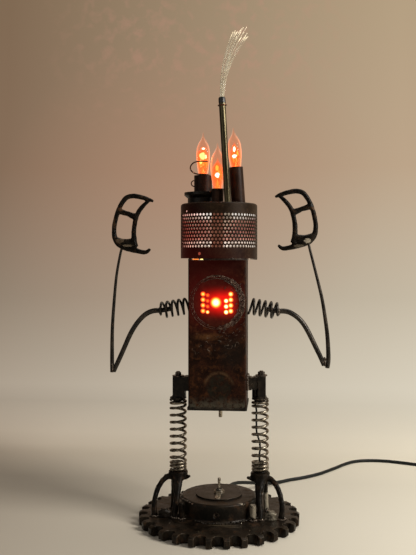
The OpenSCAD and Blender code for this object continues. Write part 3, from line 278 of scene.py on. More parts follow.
def rgba(colour, gain=1.0):
    return (*(min(c * gain, 1.0) for c in colour[:3]), 1.0)


def tone(colour, gain):
    """A colour for a ramp, which has no alpha."""
    return rgba(colour, gain)[:3]


def fresh(name):
    """A new material, its tree, its main shader and its Object coordinates."""
    m = bpy.data.materials.new(name)
    m.use_nodes = True
    tree = m.node_tree
    return m, tree, tree.nodes["Principled BSDF"], put(tree, "ShaderNodeTexCoord").outputs["Object"]


def reopen(m):
    """A finish's main shader, its colour, and its Object and Normal coordinates, to add to them."""
    skin = m.node_tree.nodes["Principled BSDF"]
    co = put(m.node_tree, "ShaderNodeTexCoord").outputs
    return skin, skin.inputs["Base Color"].links[0].from_socket, co["Object"], co["Normal"]


def weathered(name, dark, mid, light, rust, rust_share, metallic, rough, patch, grain=0.0022, depth=0.25,
              wear=None, rim=0.0012, squeeze=(1, 1, 1), oil=0.0, shine=0.35):
    """Old steel or iron: three tones in clouds, rust patches, bright worn edges, pits and a grain."""
    m, t, skin, co = fresh(name)
    if squeeze != (1, 1, 1):
        co = put(t, "ShaderNodeMapping", {"Vector": co, "Scale": squeeze}).outputs[0]
    cloud, fine = speckle(co, patch, 7, 0.64), speckle(co, grain, 5, 0.6)
    colour = ramp(cloud, [(0.34, dark), (0.5, mid), (0.66, light)])
    colour = mix(1.0, colour, ramp(fine, [(0.3, (0.62,) * 3), (0.7, (1.35,) * 3)]), "MULTIPLY")
    rusted = speckle(co, patch * 0.55, 9, 0.72, 0.4).run(rust_share, rust_share + 0.09)
    colour = mix(rusted, colour, mix(fine, rgba(rust, 0.55), rgba(rust, 1.5)))
    matte = cloud.run(0.35, 0.65, *rough) + rusted * 0.22
    round_edge = put(t, "ShaderNodeBevel", {"Radius": rim}, samples=4).outputs[0]
    if wear:
        flat = put(t, "ShaderNodeNewGeometry").outputs["Normal"]
        worn = dot(round_edge, flat).run(0.985, 0.86) * cloud.run(0.38, 0.6)
        colour = mix(worn, colour, rgba(wear))
        matte = matte - worn * 0.15
    lumps = put(t, "ShaderNodeBump", {"Strength": depth, "Distance": 0.0012, "Height": cloud,
                                      "Normal": round_edge}).outputs[0]
    pits = put(t, "ShaderNodeBump", {"Strength": depth, "Distance": 0.0004, "Height": fine,
                                     "Normal": lumps}).outputs[0]
    feed(skin, {"Base Color": colour, "Roughness": matte, "Metallic": metallic, "Normal": pits,
                "Coat Normal": lumps, "Specular IOR Level": shine, "Coat Weight": oil,
                "Coat Roughness": 0.22})
    return m


def patches(m, places):
    """Adds patches of another tone, each an ellipsoid with its middle and half sizes in millimetres."""
    skin, colour, co, _ = reopen(m)
    ragged = speckle(co, 0.004, 5, 0.65).run(0.3, 0.7, -0.3, 0.3)
    for at, size, hue in places:
        unit = vector("DIVIDE", vector("SUBTRACT", co, Vector(at) * MM), Vector(size) * MM)
        edge = Num(vector("LENGTH", unit, result="Value")) + ragged
        colour = mix(edge.run(1.08, 0.9), colour, (*hue, 1))
    feed(skin, {"Base Color": colour})
    return m


class Growth:
    """A geometry node tree with named inputs; its last nodes realise and dress what it made."""

    def __init__(self, name, **inputs):
        self.tree = bpy.data.node_groups.new(name, "GeometryNodeTree")
        face = self.tree.interface
        face.new_socket("Geometry", in_out="INPUT", socket_type="NodeSocketGeometry")
        face.new_socket("Geometry", in_out="OUTPUT", socket_type="NodeSocketGeometry")
        self.ids = {}
        for key, value in {**inputs, "Material": None}.items():
            kind = {int: "Int", float: "Float"}.get(type(value), "Material")
            made = face.new_socket(key.replace("_", " "), in_out="INPUT", socket_type="NodeSocket" + kind)
            if value is not None:
                made.default_value = value
            self.ids[key] = made.identifier
        self.given = self.tree.nodes.new("NodeGroupInput").outputs

    def __getitem__(self, key):
        return Num(self.given[key.replace("_", " ")])

    def put(self, kind, ins=None, **fields):
        return put(self.tree, "GeometryNode" + kind, ins, **fields).outputs[0]

    def index(self):
        return Num(self.put("InputIndex"))

    def along(self):
        return Num(put(self.tree, "GeometryNodeSplineParameter").outputs["Factor"])

    def chance(self, low, high, shift=0.0):
        """A random number for each element."""
        seed = self["Seed"] + shift if shift else self["Seed"]
        return Num(put(self.tree, "FunctionNodeRandomValue", {2: low, 3: high, "Seed": seed},
                       data_type="FLOAT").outputs[1])

    def wire(self, curve, radius, sides):
        """A solid wire along a curve."""
        section = self.put("CurvePrimitiveCircle", {"Resolution": sides, "Radius": radius})
        return self.put("CurveToMesh", {"Curve": curve, "Profile Curve": section, "Fill Caps": True})

    def end(self, geometry, smooth=True):
        if smooth:
            geometry = self.put("SetShadeSmooth", {"Geometry": geometry})
        real = self.put("RealizeInstances", {"Geometry": geometry})
        dressed = self.put("SetMaterial", {"Geometry": real, "Material": self["Material"]})
        put(self.tree, "NodeGroupOutput", {0: dressed})
        return self

    def grow(self, name, start=None, material=None, **values):
        """Runs the tree on a start mesh and returns a plain mesh object."""
        seed = show(name + "_seed", start or bpy.data.meshes.new(name + "_seed"))
        step = seed.modifiers.new("grow", "NODES")
        step.node_group = self.tree
        for key, value in {**values, "Material": material}.items():
            step[self.ids[key]] = value
        seed.update_tag()
        mesh = evaluated(seed)
        bpy.data.objects.remove(seed)
        mesh.name = name
        return show(name, mesh, material)


# ---------- helpers for meshes ----------

def coat(mesh, material):
    mesh.materials.clear()
    mesh.materials.append(material)


def show(name, data, material=None):
    obj = bpy.data.objects.new(name, data)
    bpy.context.scene.collection.objects.link(obj)
    if material:
        coat(data, material)
    return obj


def mesh_of(name, verts, faces, edges=()):
    mesh = bpy.data.meshes.new(name)
    mesh.from_pydata([tuple(v) for v in verts], list(edges), faces)
    return mesh


def mesh_from(bm, name):
    """The mesh of a bmesh, which is freed."""
    mesh = bpy.data.meshes.new(name)
    bm.to_mesh(mesh)
    bm.free()
    return mesh


def evaluated(obj):
    """The mesh that an object's modifiers make."""
    graph = bpy.context.evaluated_depsgraph_get()
    graph.update()
    return bpy.data.meshes.new_from_object(obj.evaluated_get(graph))


def bake_modifiers(obj):
    """Turns the object's modifiers into plain mesh."""
    mesh = evaluated(obj)
    obj.modifiers.clear()
    obj.data = mesh


def shade(mesh, angle=40):
    mesh.shade_smooth()
    mesh.set_sharp_from_angle(angle=math.radians(angle))


def shift(x=0.0, y=0.0, z=0.0):
    """A move in millimetres."""
    return Matrix.Translation((x * MM, y * MM, z * MM))


def spin(degrees, axis="Z"):
    return Matrix.Rotation(math.radians(degrees), 4, axis)


def place(obj, matrix):
    obj.data.transform(matrix)
    obj.data.update()
    return obj


def circle(count):
    """The cosine and sine of even steps round a circle."""
    angles = [2 * math.pi * k / count for k in range(count)]
    return [(math.cos(a), math.sin(a)) for a in angles]


def smooth(points, steps):
    """A smooth run through points of any width, with some steps in each stretch."""
    p = np.array(points, float)
    out = []
    for i in range(len(p) - 1):
        a, b, c, d = p[max(i - 1, 0)], p[i], p[i + 1], p[min(i + 2, len(p) - 1)]
        for s in range(steps):
            t = s / steps
            out.append(0.5 * (2 * b + (c - a) * t + (2 * a - 5 * b + 4 * c - d) * t * t
                              + (3 * b - a - 3 * c + d) * t ** 3))
    out.append(p[-1])
    return np.array(out)


def tidy(mesh, triangles=False):
    """Merges doubles and points the faces outwards."""
    bm = bmesh.new()
    bm.from_mesh(mesh)
    bmesh.ops.remove_doubles(bm, verts=bm.verts, dist=1e-6)
    if triangles:
        bmesh.ops.triangulate(bm, faces=bm.faces[:])
    bmesh.ops.recalc_face_normals(bm, faces=bm.faces)
    bm.to_mesh(mesh)
    bm.free()
    mesh.update()


def loft(name, rows, triangles=False):
    """A closed skin over rows of points that each go round once."""
    count, last = len(rows[0]), (len(rows) - 1) * len(rows[0])
    faces = [(a + k, a + count + k, a + count + (k + 1) % count, a + (k + 1) % count)
             for a in range(0, last, count) for k in range(count)]
    faces += [tuple(range(count)), tuple(reversed(range(last, last + count)))]
    mesh = mesh_of(name, [p for row in rows for p in row], faces)
    tidy(mesh, triangles)
    return mesh


def tube_mesh(name, points, radii, sides=14, ref=(0, 1, 0)):
    """A round bar along points in metres with a domed cap at each end; ref is never along the points."""
    pts = [Vector(p) for p in points]
    rads = list(radii) if hasattr(radii, "__len__") else [radii] * len(pts)
    last, rows = len(pts) - 1, []

    def ring(at, way, r):
        n = way.cross(Vector(ref)).normalized()
        b = way.cross(n).normalized()
        rows.append([at + n * (r * c) + b * (r * s) for c, s in circle(sides)])

    def dome(i, way, out, shares):
        for a in shares:
            ring(pts[i] + way * out * rads[i] * 0.35 * (1 - a), way,
                 rads[i] * math.sin(math.pi / 2 * (a + 0.1)))

    for i, p in enumerate(pts):
        way = (pts[min(i + 1, last)] - pts[max(i - 1, 0)]).normalized()
        if i == 0:
            dome(i, way, -1, (0.25, 0.7))
        ring(p, way, rads[i])
        if i == last:
            dome(i, way, 1, (0.7, 0.25))
    mesh = loft(name, rows)
    mesh.shade_smooth()
    return mesh


def revolve(name, profile, steps=64, closed=False):
    """Turns a profile of (radius, height) in millimetres about Z; a closed one is a ring's section."""
    n = len(profile)
    verts = [(r * MM * c, r * MM * s, z * MM) for c, s in circle(steps) for r, z in profile]
    faces = []
    for k in range(steps):
        a, b = k * n, (k + 1) % steps * n
        faces += [(a + i, b + i, b + (i + 1) % n, a + (i + 1) % n) for i in range(n if closed else n - 1)]
    mesh = mesh_of(name, verts, faces)
    tidy(mesh)
    shade(mesh)
    return mesh


def join(name, meshes, material=None):
    """One mesh object from several meshes."""
    bm = bmesh.new()
    for m in meshes:
        bm.from_mesh(m)
    return show(name, mesh_from(bm, name), material)


def cast(obj, material, voxel, lumps, rounds, seed, scale=0.006):
    """Fuses a piece's lumps into one casting and roughens it."""
    step = obj.modifiers.new("fuse", "REMESH")
    step.mode, step.voxel_size = "VOXEL", voxel
    step = obj.modifiers.new("soften", "SMOOTH")
    step.factor, step.iterations = 0.5, rounds
    bake_modifiers(obj)
    mesh = obj.data
    for v in mesh.vertices:
        p = v.co / scale + Vector((seed, seed * 2, seed * 3))
        v.co += v.normal * lumps * (noise.noise(p) + 0.5 * noise.noise(p * 2.3) - 0.3)
    mesh.update()
    mesh.shade_smooth()
    coat(mesh, material)


def lump(at, r, seed=0.0, tall=1.0, uneven=0.35):
    """An uneven drop of metal about a place in millimetres."""
    bm = bmesh.new()
    bmesh.ops.create_icosphere(bm, subdivisions=3, radius=r * MM)
    for v in bm.verts:
        k = 1 + uneven * noise.noise(v.co / (r * MM) * 1.3 + Vector((seed, -seed, seed * 2)))
        v.co = Vector((v.co.x * k, v.co.y * k, v.co.z * k * tall)) + Vector(at) * MM
    mesh = mesh_from(bm, "lump")
    mesh.shade_smooth()
    return mesh


def warm(mesh, values):
    """Stores how hot each point glows."""
    mesh.attributes.new("warmth", "FLOAT", "POINT").data.foreach_set("value", values)
    return mesh


def heated(mesh, rule):
    return warm(mesh, [rule(v.co) for v in mesh.vertices])


def wear(**nodes):
    """Gives CAD nodes their material; each keyword is a material, with the nodes in one string."""
    for material, names in nodes.items():
        for name in names.split():
            coat(frame["nodes"][name].data, MAT[material])


def dress(obj, body, slot, *nodes):
    """Rides a piece on its body and hides the nodes that it stands for; its slot is not used."""
    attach(obj, body)
    if nodes:
        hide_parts(*nodes)
    return obj


def stretch(obj, nodes):
    """Hides the nodes that a piece stands for and bakes its place into its mesh."""
    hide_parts(*nodes)
    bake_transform(obj)


def arc(centre, radius, count, axis="z", start=0.0, sweep=360.0):
    """A run on an arc in millimetres: whether it closes, and its points in metres; axis is its own axis."""
    out = []
    for k in range(count):
        a = math.radians(start + sweep * k / (count if sweep == 360 else count - 1))
        c, s = radius * math.cos(a), radius * math.sin(a)
        add = {"z": (c, s, 0), "y": (c, 0, s), "x": (0, c, s)}[axis]
        out.append([(centre[i] + add[i]) * MM for i in range(3)])
    return sweep == 360, out


def straight(a, b, count):
    """A straight run between two places in millimetres, whose points are in metres."""
    return False, [tuple(p * MM) for p in np.linspace(a, b, count)]


def path_mesh(name, runs):
    """A mesh of edges only, from runs of points in metres; a run whose first element is True is closed."""
    verts, edges = [], []
    for closed, pts in runs:
        first = len(verts)
        verts += pts
        edges += [(first + i, first + i + 1) for i in range(len(pts) - 1)]
        if closed:
            edges.append((first + len(pts) - 1, first))
    return mesh_of(name, verts, [], edges)


# ---------- materials ----------

MAT = {}


def make_materials():
    c = bpy.context.scene.lamp_colours
    iron, steel, rust = tuple(c.iron), tuple(c.steel), tuple(c.rust)
    MAT["oily_cast_iron"] = patches(weathered(
        "oiled iron", tone(iron, 0.36), tone(iron, 0.85), tone(iron, 1.9), rust=(0.042, 0.022, 0.011),
        rust_share=0.54, metallic=0.2, rough=(0.26, 0.52), patch=0.024, depth=0.6, wear=(0.12, 0.09, 0.06),
        rim=0.0016, oil=0.06, shine=0.15), [
            # painted shade on the front of the hub's wall
            ((-8, -61, 28), (36, 9, 10), (0.0055, 0.0045, 0.003)),
            ((14, -67, 14.8), (26, 3.2, 3), (0.07, 0.053, 0.033)),
            ((26, -74, 14.8), (14, 2, 3), (0.06, 0.045, 0.028)),
            ((41, -45, 43), (7, 2.5, 3), (0.2, 0.17, 0.13)),
            ((-56, -20, 43), (4, 16, 3), (0.06, 0.045, 0.032))])
    MAT["rusty_steel"] = weathered(
        "rusty steel", tone(steel, 0.45), tone(steel, 0.8), tone(steel, 1.5), rust=tone(rust, 0.8),
        rust_share=0.56, metallic=0.3, rough=(0.36, 0.6), patch=0.022, depth=0.4, wear=(0.13, 0.085, 0.06),
        rim=0.001, oil=0.06)
    MAT["grey_steel"] = drum_steel()
    MAT["sunk_socket"] = socket_steel()
    MAT["socket_tube"] = weathered(
        "socket tube", (0.012, 0.0045, 0.0022), (0.022, 0.0085, 0.0042), (0.042, 0.019, 0.01),
        rust=(0.045, 0.018, 0.008), rust_share=0.57, metallic=0.1, shine=0.14, rough=(0.36, 0.58), patch=0.02,
        depth=0.3, wear=(0.13, 0.09, 0.06), rim=0.0008)
    MAT["ring_steel"] = weathered(
        "ring weld", (0.02, 0.011, 0.0075), (0.06, 0.036, 0.025), (0.24, 0.17, 0.125),
        rust=(0.05, 0.022, 0.012),
        rust_share=0.57, metallic=0.5, rough=(0.24, 0.46), patch=0.005, grain=0.0009, depth=0.6, rim=0.0003)
    MAT["dark_steel"] = weathered(
        "dark steel", (0.005, 0.0036, 0.0026), (0.0105, 0.0076, 0.0052), (0.026, 0.019, 0.0125),
        rust=(0.04, 0.021, 0.0105), rust_share=0.59, metallic=0.15, rough=(0.3, 0.5), patch=0.016,
        grain=0.0035, depth=0.2, wear=(0.15, 0.115, 0.08), rim=0.0009, oil=0.05, shine=0.2)
    MAT["weld_steel"] = weathered(
        "weld bead", (0.022, 0.015, 0.011), (0.055, 0.04, 0.03), (0.15, 0.115, 0.085),
        rust=(0.10, 0.052, 0.03),
        rust_share=0.57, metallic=0.55, rough=(0.24, 0.46), patch=0.008, grain=0.0011, depth=0.6, rim=0.0004,
        oil=0.2)
    MAT["pale_steel"] = weathered(
        "bare worn steel", (0.07, 0.058, 0.043), (0.2, 0.175, 0.135), (0.36, 0.33, 0.26),
        rust=(0.06, 0.04, 0.025),
        rust_share=0.57, metallic=0.55, rough=(0.3, 0.5), patch=0.009, grain=0.0012, depth=0.45, rim=0.0004)
    MAT["plated_steel"] = weathered(
        "worn plating", (0.16, 0.13, 0.095), (0.36, 0.31, 0.24), (0.62, 0.56, 0.46),
        rust=(0.07, 0.045, 0.028),
        rust_share=0.58, metallic=0.85, rough=(0.2, 0.4), patch=0.004, grain=0.0009, depth=0.2, rim=0.0003)
    MAT["dark_spring"] = weathered(
        "black spring", (0.009, 0.007, 0.0055), (0.02, 0.016, 0.012), (0.055, 0.044, 0.033),
        rust=(0.045, 0.025, 0.014), rust_share=0.57, metallic=0.45, rough=(0.26, 0.44), patch=0.016,
        grain=0.0018, depth=0.2, rim=0.0003, oil=0.15)
    # painted shade: a darker copy of the bare spring finish, for the left leg spring
    MAT["worn_spring"] = weathered(
        "worn spring", (0.026, 0.02, 0.015), (0.12, 0.1, 0.076), (0.4, 0.35, 0.27), rust=(0.05, 0.028, 0.016),
        rust_share=0.55, metallic=0.8, rough=(0.2, 0.4), patch=0.014, grain=0.001, depth=0.25, rim=0.0003)
    MAT["bright_spring"] = weathered(
        "bare spring", (0.06, 0.048, 0.036), (0.2, 0.17, 0.13), (0.48, 0.43, 0.35), rust=(0.06, 0.035, 0.02),
        rust_share=0.55, metallic=0.85, rough=(0.18, 0.38), patch=0.011, grain=0.001, depth=0.25, rim=0.0003)
    MAT["brass"] = weathered(
        "dull brass", (0.035, 0.027, 0.014), (0.085, 0.07, 0.038), (0.16, 0.14, 0.08),
        rust=(0.03, 0.021, 0.011),
        rust_share=0.6, metallic=0.85, rough=(0.24, 0.36), patch=0.02, grain=0.006, depth=0.015, rim=0.0003,
        squeeze=(1, 1, 0.12))
    MAT["copper_wire"] = weathered(
        "copper wire", (0.04, 0.018, 0.01), (0.13, 0.06, 0.035), (0.34, 0.17, 0.1), rust=(0.03, 0.018, 0.012),
        rust_share=0.6, metallic=0.85, rough=(0.22, 0.4), patch=0.006, grain=0.0009, depth=0.12, rim=0.0003)
    MAT["cast_parts"] = patches(weathered(
        "oiled castings", tone(iron, 0.18), tone(iron, 0.32), tone(iron, 1.3), rust=(0.04, 0.021, 0.01),
        rust_share=0.55, metallic=0.1, rough=(0.3, 0.54), patch=0.014, depth=0.6, wear=(0.15, 0.11, 0.075),
        rim=0.0013, oil=0.03, shine=0.1), [
            ((75.5, 9, 33), (6.5, 6.5, 19), (0.34, 0.3, 0.23)),
            ((55.5, -41.5, 29), (6.5, 6.5, 13), (0.26, 0.225, 0.17)),
            # painted highlight: a thin bright stripe up the left foot's front leg
            ((-62, -44, 41), (1.1, 4, 22), (0.4, 0.36, 0.28)),
            # from here on: painted warm highlights at the hands
            ((162, -4, 529.6), (5, 6, 3.4), (0.30, 0.21, 0.07)),
            ((141, -5, 448), (5, 4, 4), (0.3, 0.26, 0.2)),
            ((-160, -5, 449), (7, 5, 4), (0.085, 0.058, 0.036)),
            ((-147, -5, 441), (9, 5, 2), (0.13, 0.1, 0.068)),
            ((-171, -5, 486), (2, 5, 16), (0.06, 0.032, 0.014)),
            ((-160, -5, 500), (8, 5, 3), (0.05, 0.024, 0.01)),
            ((128, -5, 440), (8, 5, 2.5), (0.1, 0.082, 0.06)),
            ((152, -5, 500), (6, 5, 3), (0.05, 0.026, 0.012))])
    MAT["black_plastic"] = plain("black plastic", (0.012, 0.012, 0.013), 0.38, 0.0006, 0.06)
    MAT["pale_plastic"] = plain("pale plastic", (0.55, 0.52, 0.44), 0.42, 0.0008, 0.05)
    MAT["black_rubber"] = plain("black rubber", (0.012, 0.013, 0.012), 0.55, 0.0005, 0.1)
    MAT["black_cord"] = plain("black sheath", (0.006, 0.0075, 0.007), 0.5, 0.0015, 0.05, shine=0.25)
    MAT["circuit_board"] = board_green()
    MAT["glass_fibre"] = fibre_glass()
    MAT["flame_glass"], MAT["glow"], MAT["flame_lamp"] = bulb_glass(tuple(c.flame))
    MAT["red_lens"], MAT["red_lamp"] = chest_light(tuple(c.chest))
    MAT["torso"] = torso_steel(steel, rust, tuple(c.chest))


def plain(name, colour, rough, grain, depth, shine=0.5):
    """Moulded plastic or rubber: a near flat colour with faint clouds, a fine texture and handling marks."""
    m, t, skin, co = fresh(name)
    cloud = speckle(co, 0.02, 4)
    bump = put(t, "ShaderNodeBump", {"Strength": depth, "Distance": 0.0003, "Height": speckle(co, grain, 3)})
    feed(skin, {"Base Color": ramp(cloud, [(0.35, tone(colour, 0.8)), (0.65, tone(colour, 1.3))]),
                "Roughness": cloud.run(0.35, 0.65, rough - 0.07, rough + 0.09), "Normal": bump.outputs[0],
                "Specular IOR Level": shine})
    return m


def board_green():
    m, t, skin, co = fresh("circuit board")
    cells = put(t, "ShaderNodeTexVoronoi", {"Vector": co, "Scale": 420.0}, feature="DISTANCE_TO_EDGE")
    tracks = Num(cells.outputs["Distance"]).run(0.02, 0.05)
    feed(skin, {"Base Color": mix(tracks, (0.30, 0.26, 0.08, 1), (0.012, 0.09, 0.03, 1)), "Roughness": 0.3})
    return m


def fibre_glass():
    """Clear fibre that guides a little light to its tip."""
    m, t, skin, co = fresh("glass fibre")
    clear = ramp(speckle(co, 0.03, 3), [(0.3, (0.62, 0.56, 0.42)), (0.7, (0.9, 0.86, 0.72))])
    feed(skin, {"Base Color": clear, "Roughness": 0.15, "Transmission Weight": 0.3,
                "Emission Color": (1.0, 0.86, 0.62, 1), "Emission Strength": warmth(t) * 1.1 + 0.05})
    return m


def drum_steel():
    """The head's brown steel; its inner face is lit by the lamps, most at the lowest and highest holes."""
    m = weathered("head steel", (0.0095, 0.005, 0.0026), (0.0195, 0.0105, 0.0052), (0.035, 0.0205, 0.0108),
                  rust=(0.036, 0.018, 0.009), rust_share=0.56, metallic=0.2, rough=(0.36, 0.56), patch=0.03,
                  depth=0.18, wear=(0.14, 0.1, 0.065), rim=0.0005, oil=0.0, shine=0.12)
    skin, colour, co, normal = reopen(m)
    x, y, z = split(co)
    inside = dot(vector("NORMALIZE", gather(x, y)), normal) < -0.6
    light = ramp(z.run(HEAD_LOW * MM, HEAD_HIGH * MM), [
        (0.0, (0.30, 0.05, 0.03)), (0.15, (0.36, 0.09, 0.05)), (0.19, (1.0, 0.86, 0.72)),
        (0.30, (1.0, 0.84, 0.7)), (0.35, (0.56, 0.23, 0.17)), (0.55, (0.34, 0.12, 0.09)),
        (0.72, (0.36, 0.13, 0.095)), (0.78, (0.9, 0.8, 0.7)), (0.9, (0.95, 0.9, 0.82)),
        (1.0, (0.2, 0.1, 0.06))])
    redder = mix(x.run(-0.022, -0.056), light, (1.0, 0.5, 0.45, 1), "MULTIPLY")
    uneven = speckle(co, 0.012, 3).run(0.35, 0.65, 0.55, 1.2)
    # red light from the chest on the outer face, most at the lower left
    lit = (x * -0.8 + z * -1.0).run(-0.49, -0.385) * y.run(0.0, -0.02)
    feed(skin, {"Base Color": mix(lit * 0.85, colour, (0.012, 0.0012, 0.0008, 1)),
                "Emission Color": mix(inside, (1.0, 0.02, 0.012, 1), redder),
                "Emission Strength": calc("MAXIMUM", inside * uneven, lit * 0.017)})
    return m


def socket_steel():
    """Steel of the sunk socket, whose part inside the head is lit by the lamps there."""
    m = weathered("socket steel", (0.012, 0.0045, 0.0022), (0.022, 0.0085, 0.0042), (0.042, 0.019, 0.01),
                  rust=(0.045, 0.018, 0.008), rust_share=0.56, metallic=0.1, rough=(0.34, 0.56), patch=0.02,
                  depth=0.35, wear=(0.13, 0.085, 0.06), rim=0.0008, shine=0.14)
    skin, _, co, _ = reopen(m)
    depth = split(co)[2].run((SEAT - 1) * MM, (SEAT - 7) * MM, 0.0, 0.42)
    feed(skin, {"Emission Color": (0.40, 0.15, 0.09, 1),
                "Emission Strength": depth * speckle(co, 0.008, 3).run(0.35, 0.65, 0.6, 1.2)})
    return m


def bulb_glass(flame):
    """The bulbs' glass with its warm rim, the haze of light in it, and the glowing cores."""
    glass, t, skin, co = fresh("flame glass")
    heat = warmth(t)
    rim = Num(put(t, "ShaderNodeLayerWeight", {"Blend": 0.35}).outputs["Facing"])
    feed(skin, {"Base Color": (1.0, 0.86, 0.78, 1), "Roughness": 0.03, "Transmission Weight": 1.0,
                "IOR": 1.12,
                "Emission Color": ramp(heat, [(0.0, (1.0, 0.3, 0.17)), (1.0, (1.0, 0.22, 0.07))]),
                "Emission Strength": rim ** 2.6 * (heat * 1.2 + 0.75) + (heat * 0.03 + 0.035)})
    haze, t, skin, co = fresh("flame haze")
    feed(skin, {"Base Color": (0.4, 0.08, 0.02, 1), "Roughness": 0.8, "Alpha": warmth(t) ** 1.1 * 0.78,
                "Emission Color": ramp(speckle(co, 0.005, 4, 0.6, 0.6),
                                       [(0.35, flame), (0.65, (1.0, 0.2, 0.025))]),
                "Emission Strength": 1.05})
    core, t, skin, co = fresh("glowing core")
    heat = warmth(t)
    hot = ramp(heat, [(0.0, (0.8, 0.12, 0.02)), (0.3, (1.0, 0.25, 0.03)), (0.55, (1.0, 0.6, 0.06)),
                      (0.8, (1.0, 0.9, 0.35)), (1.0, (1.0, 1.0, 0.92))])
    feed(skin, {"Base Color": (0.5, 0.12, 0.03, 1), "Emission Color": hot,
                "Emission Strength": heat.run(0.0, 1.0, 0.7, 2.6)})
    return glass, haze, core


def chest_light(chest):
    """The red diffuser and the small lamps that shine through the chest's holes."""
    lens, t, skin, co = fresh("red diffuser")
    feed(skin, {"Base Color": ramp(speckle(co, 0.006, 3),
                                   [(0.3, (0.5, 0.02, 0.01)), (0.7, (0.85, 0.04, 0.02))]),
                "Roughness": 0.3, "Emission Color": rgba(chest), "Emission Strength": 0.5})
    lamp, t, skin, co = fresh("lit lamp")
    heat = warmth(t)
    hot = ramp(heat, [(0.0, (0.8, 0.005, 0.003)), (0.16, (1.0, 0.04, 0.004)), (0.34, (1.0, 0.28, 0.01)),
                      (0.55, (1.0, 0.78, 0.14)), (0.8, (1.0, 0.97, 0.6)), (1.0, (1.0, 1.0, 0.95))])
    feed(skin, {"Base Color": (0.15, 0.004, 0.002, 1), "Roughness": 0.25, "Emission Color": hot,
                "Emission Strength": heat.run(0.0, 1.0, 0.9, 1.6)})
    return lens, lamp


def torso_steel(steel, rust, chest):
    """The torso's steel: blotches, stains and scratches, and the chest lamps' red light round the holes."""
    m = weathered("torso steel", tone(steel, 0.4), tone(steel, 0.85), tone(steel, 1.8), rust=rust,
                  rust_share=0.515, metallic=0.08, rough=(0.4, 0.62), patch=0.016, grain=0.0024, depth=0.6,
                  wear=(0.14, 0.085, 0.05), rim=0.0014, shine=0.1)
    skin, colour, co, _ = reopen(m)
    x, y, z = split(co)
    front = y < -0.0447
    cloud = speckle(co, 0.006, 5, 0.65, 0.5)

    def spot(at_x, at_z, wide, tall):
        """Distance from a place on the front in half widths and half heights, and the height above it."""
        above = (z - at_z * MM) / (tall * MM)
        return span((x - at_x * MM) / (wide * MM), above), above

    # a tint on the front: it makes real stains, and also the painted red glow round the holes
    def stain_and_glow(colour, share, hue):
        return mix(share * front, colour, (*hue, 1))

    disc, above = spot(3, 220, 21, 22)
    colour = stain_and_glow(colour, disc.run(1.0, 0.8) * cloud.run(0.36, 0.6, 0.15, 0.8), (0.013, 0.012, 0.0075))
    band = disc.run(0.9, 1.02) * disc.run(1.22, 1.06) * above.run(0.1, 0.5) * cloud.run(0.4, 0.55, 0.2, 0.9)
    colour = stain_and_glow(colour, band, (0.07, 0.038, 0.018))
    foot = z.run(0.206, 0.193) * cloud.run(0.38, 0.55)
    colour = stain_and_glow(colour, foot * 0.75, (0.075, 0.066, 0.048))
    smear = spot(-14, 299, 24, 6)[0].run(1.2, 0.3) * cloud.run(0.4, 0.6, 0.3, 1.0)
    colour = stain_and_glow(colour, smear, (0.085, 0.036, 0.012))
    dark = spot(24, 272, 22, 26)[0].run(1.15, 0.5)
    colour = stain_and_glow(colour, dark * 0.7, (0.010, 0.006, 0.004))
    # thin curled scratches in a band below the ring
    ridge = abs(speckle(co, 0.017, 2, 0.5, 0.8) - 0.5)
    lines = ridge.run(0.012, 0.003) * speckle(co, 0.009, 4).run(0.5, 0.62)
    zone = z.run(0.262, 0.278) * z.run(0.306, 0.296)
    colour = stain_and_glow(colour, lines * zone * 0.75, (0.26, 0.2, 0.15))
    # red light: a box round the holes, and a wide faint glow
    out = span(calc("MAXIMUM", abs(x - 0.0005) - 0.0185, 0.0),
               calc("MAXIMUM", abs(z - CHEST[1] * MM) - 0.0095, 0.0))
    near = out.run(0.021, 0.0) ** 2.6 * x.run(-0.026, 0.002, 0.1, 0.85)
    wide = out.run(0.055, 0.0) ** 1.8 * 0.05
    colour = stain_and_glow(colour, out.run(0.03, 0.004) * 0.7, (0.03, 0.006, 0.004))
    # painted red light on the upper left of the front
    upper = (x * -0.9 + z).run(0.335, 0.42) * front
    feed(skin, {"Base Color": mix(upper * 0.85, colour, (0.013, 0.0012, 0.0008, 1)),
                "Emission Color": mix(out.run(0.01, 0.04), rgba(chest), (1.0, 0.05, 0.025, 1)),
                "Emission Strength": (near + (wide + upper * 0.012)) * front})
    return m


# ---------- growth trees ----------

def coil_growth():
    """Round wire wound up along Z, with closed turns at both ends and a last part that may draw in."""
    g = Growth("Wire coil", Coil_Radius=0.012, End_Radius=0.012, Wire_Radius=0.002, Rise=0.1, Turns=10.0,
               Low_Turns=0.0, High_Turns=0.0, Closed_Pitch=0.0053, Drawn_Turns=0.0, Steps=28.0, Sides=12)
    turns, low, pitch = g["Turns"], g["Low_Turns"], g["Closed_Pitch"]
    line = g.put("CurvePrimitiveLine", {"End": (0, 0, 1)})
    even = g.put("ResampleCurve", {"Curve": line, "Count": turns * g["Steps"]})
    turn = g.along() * turns
    foot, head = low * pitch, g["High_Turns"] * pitch
    upper, rise = turns - g["High_Turns"], g["Rise"] - (foot + head)
    z = turn.run(0.0, low, 0.0, foot) + turn.run(low, upper, 0.0, rise) + turn.run(upper, turns, 0.0, head)
    r = turn.run(turns - g["Drawn_Turns"], turns, g["Coil_Radius"], g["End_Radius"])
    wound = g.put("SetPosition", {"Geometry": even, "Position": round_z(r, turn * (2 * math.pi), z)})
    return g.end(g.wire(wound, g["Wire_Radius"], g["Sides"]))


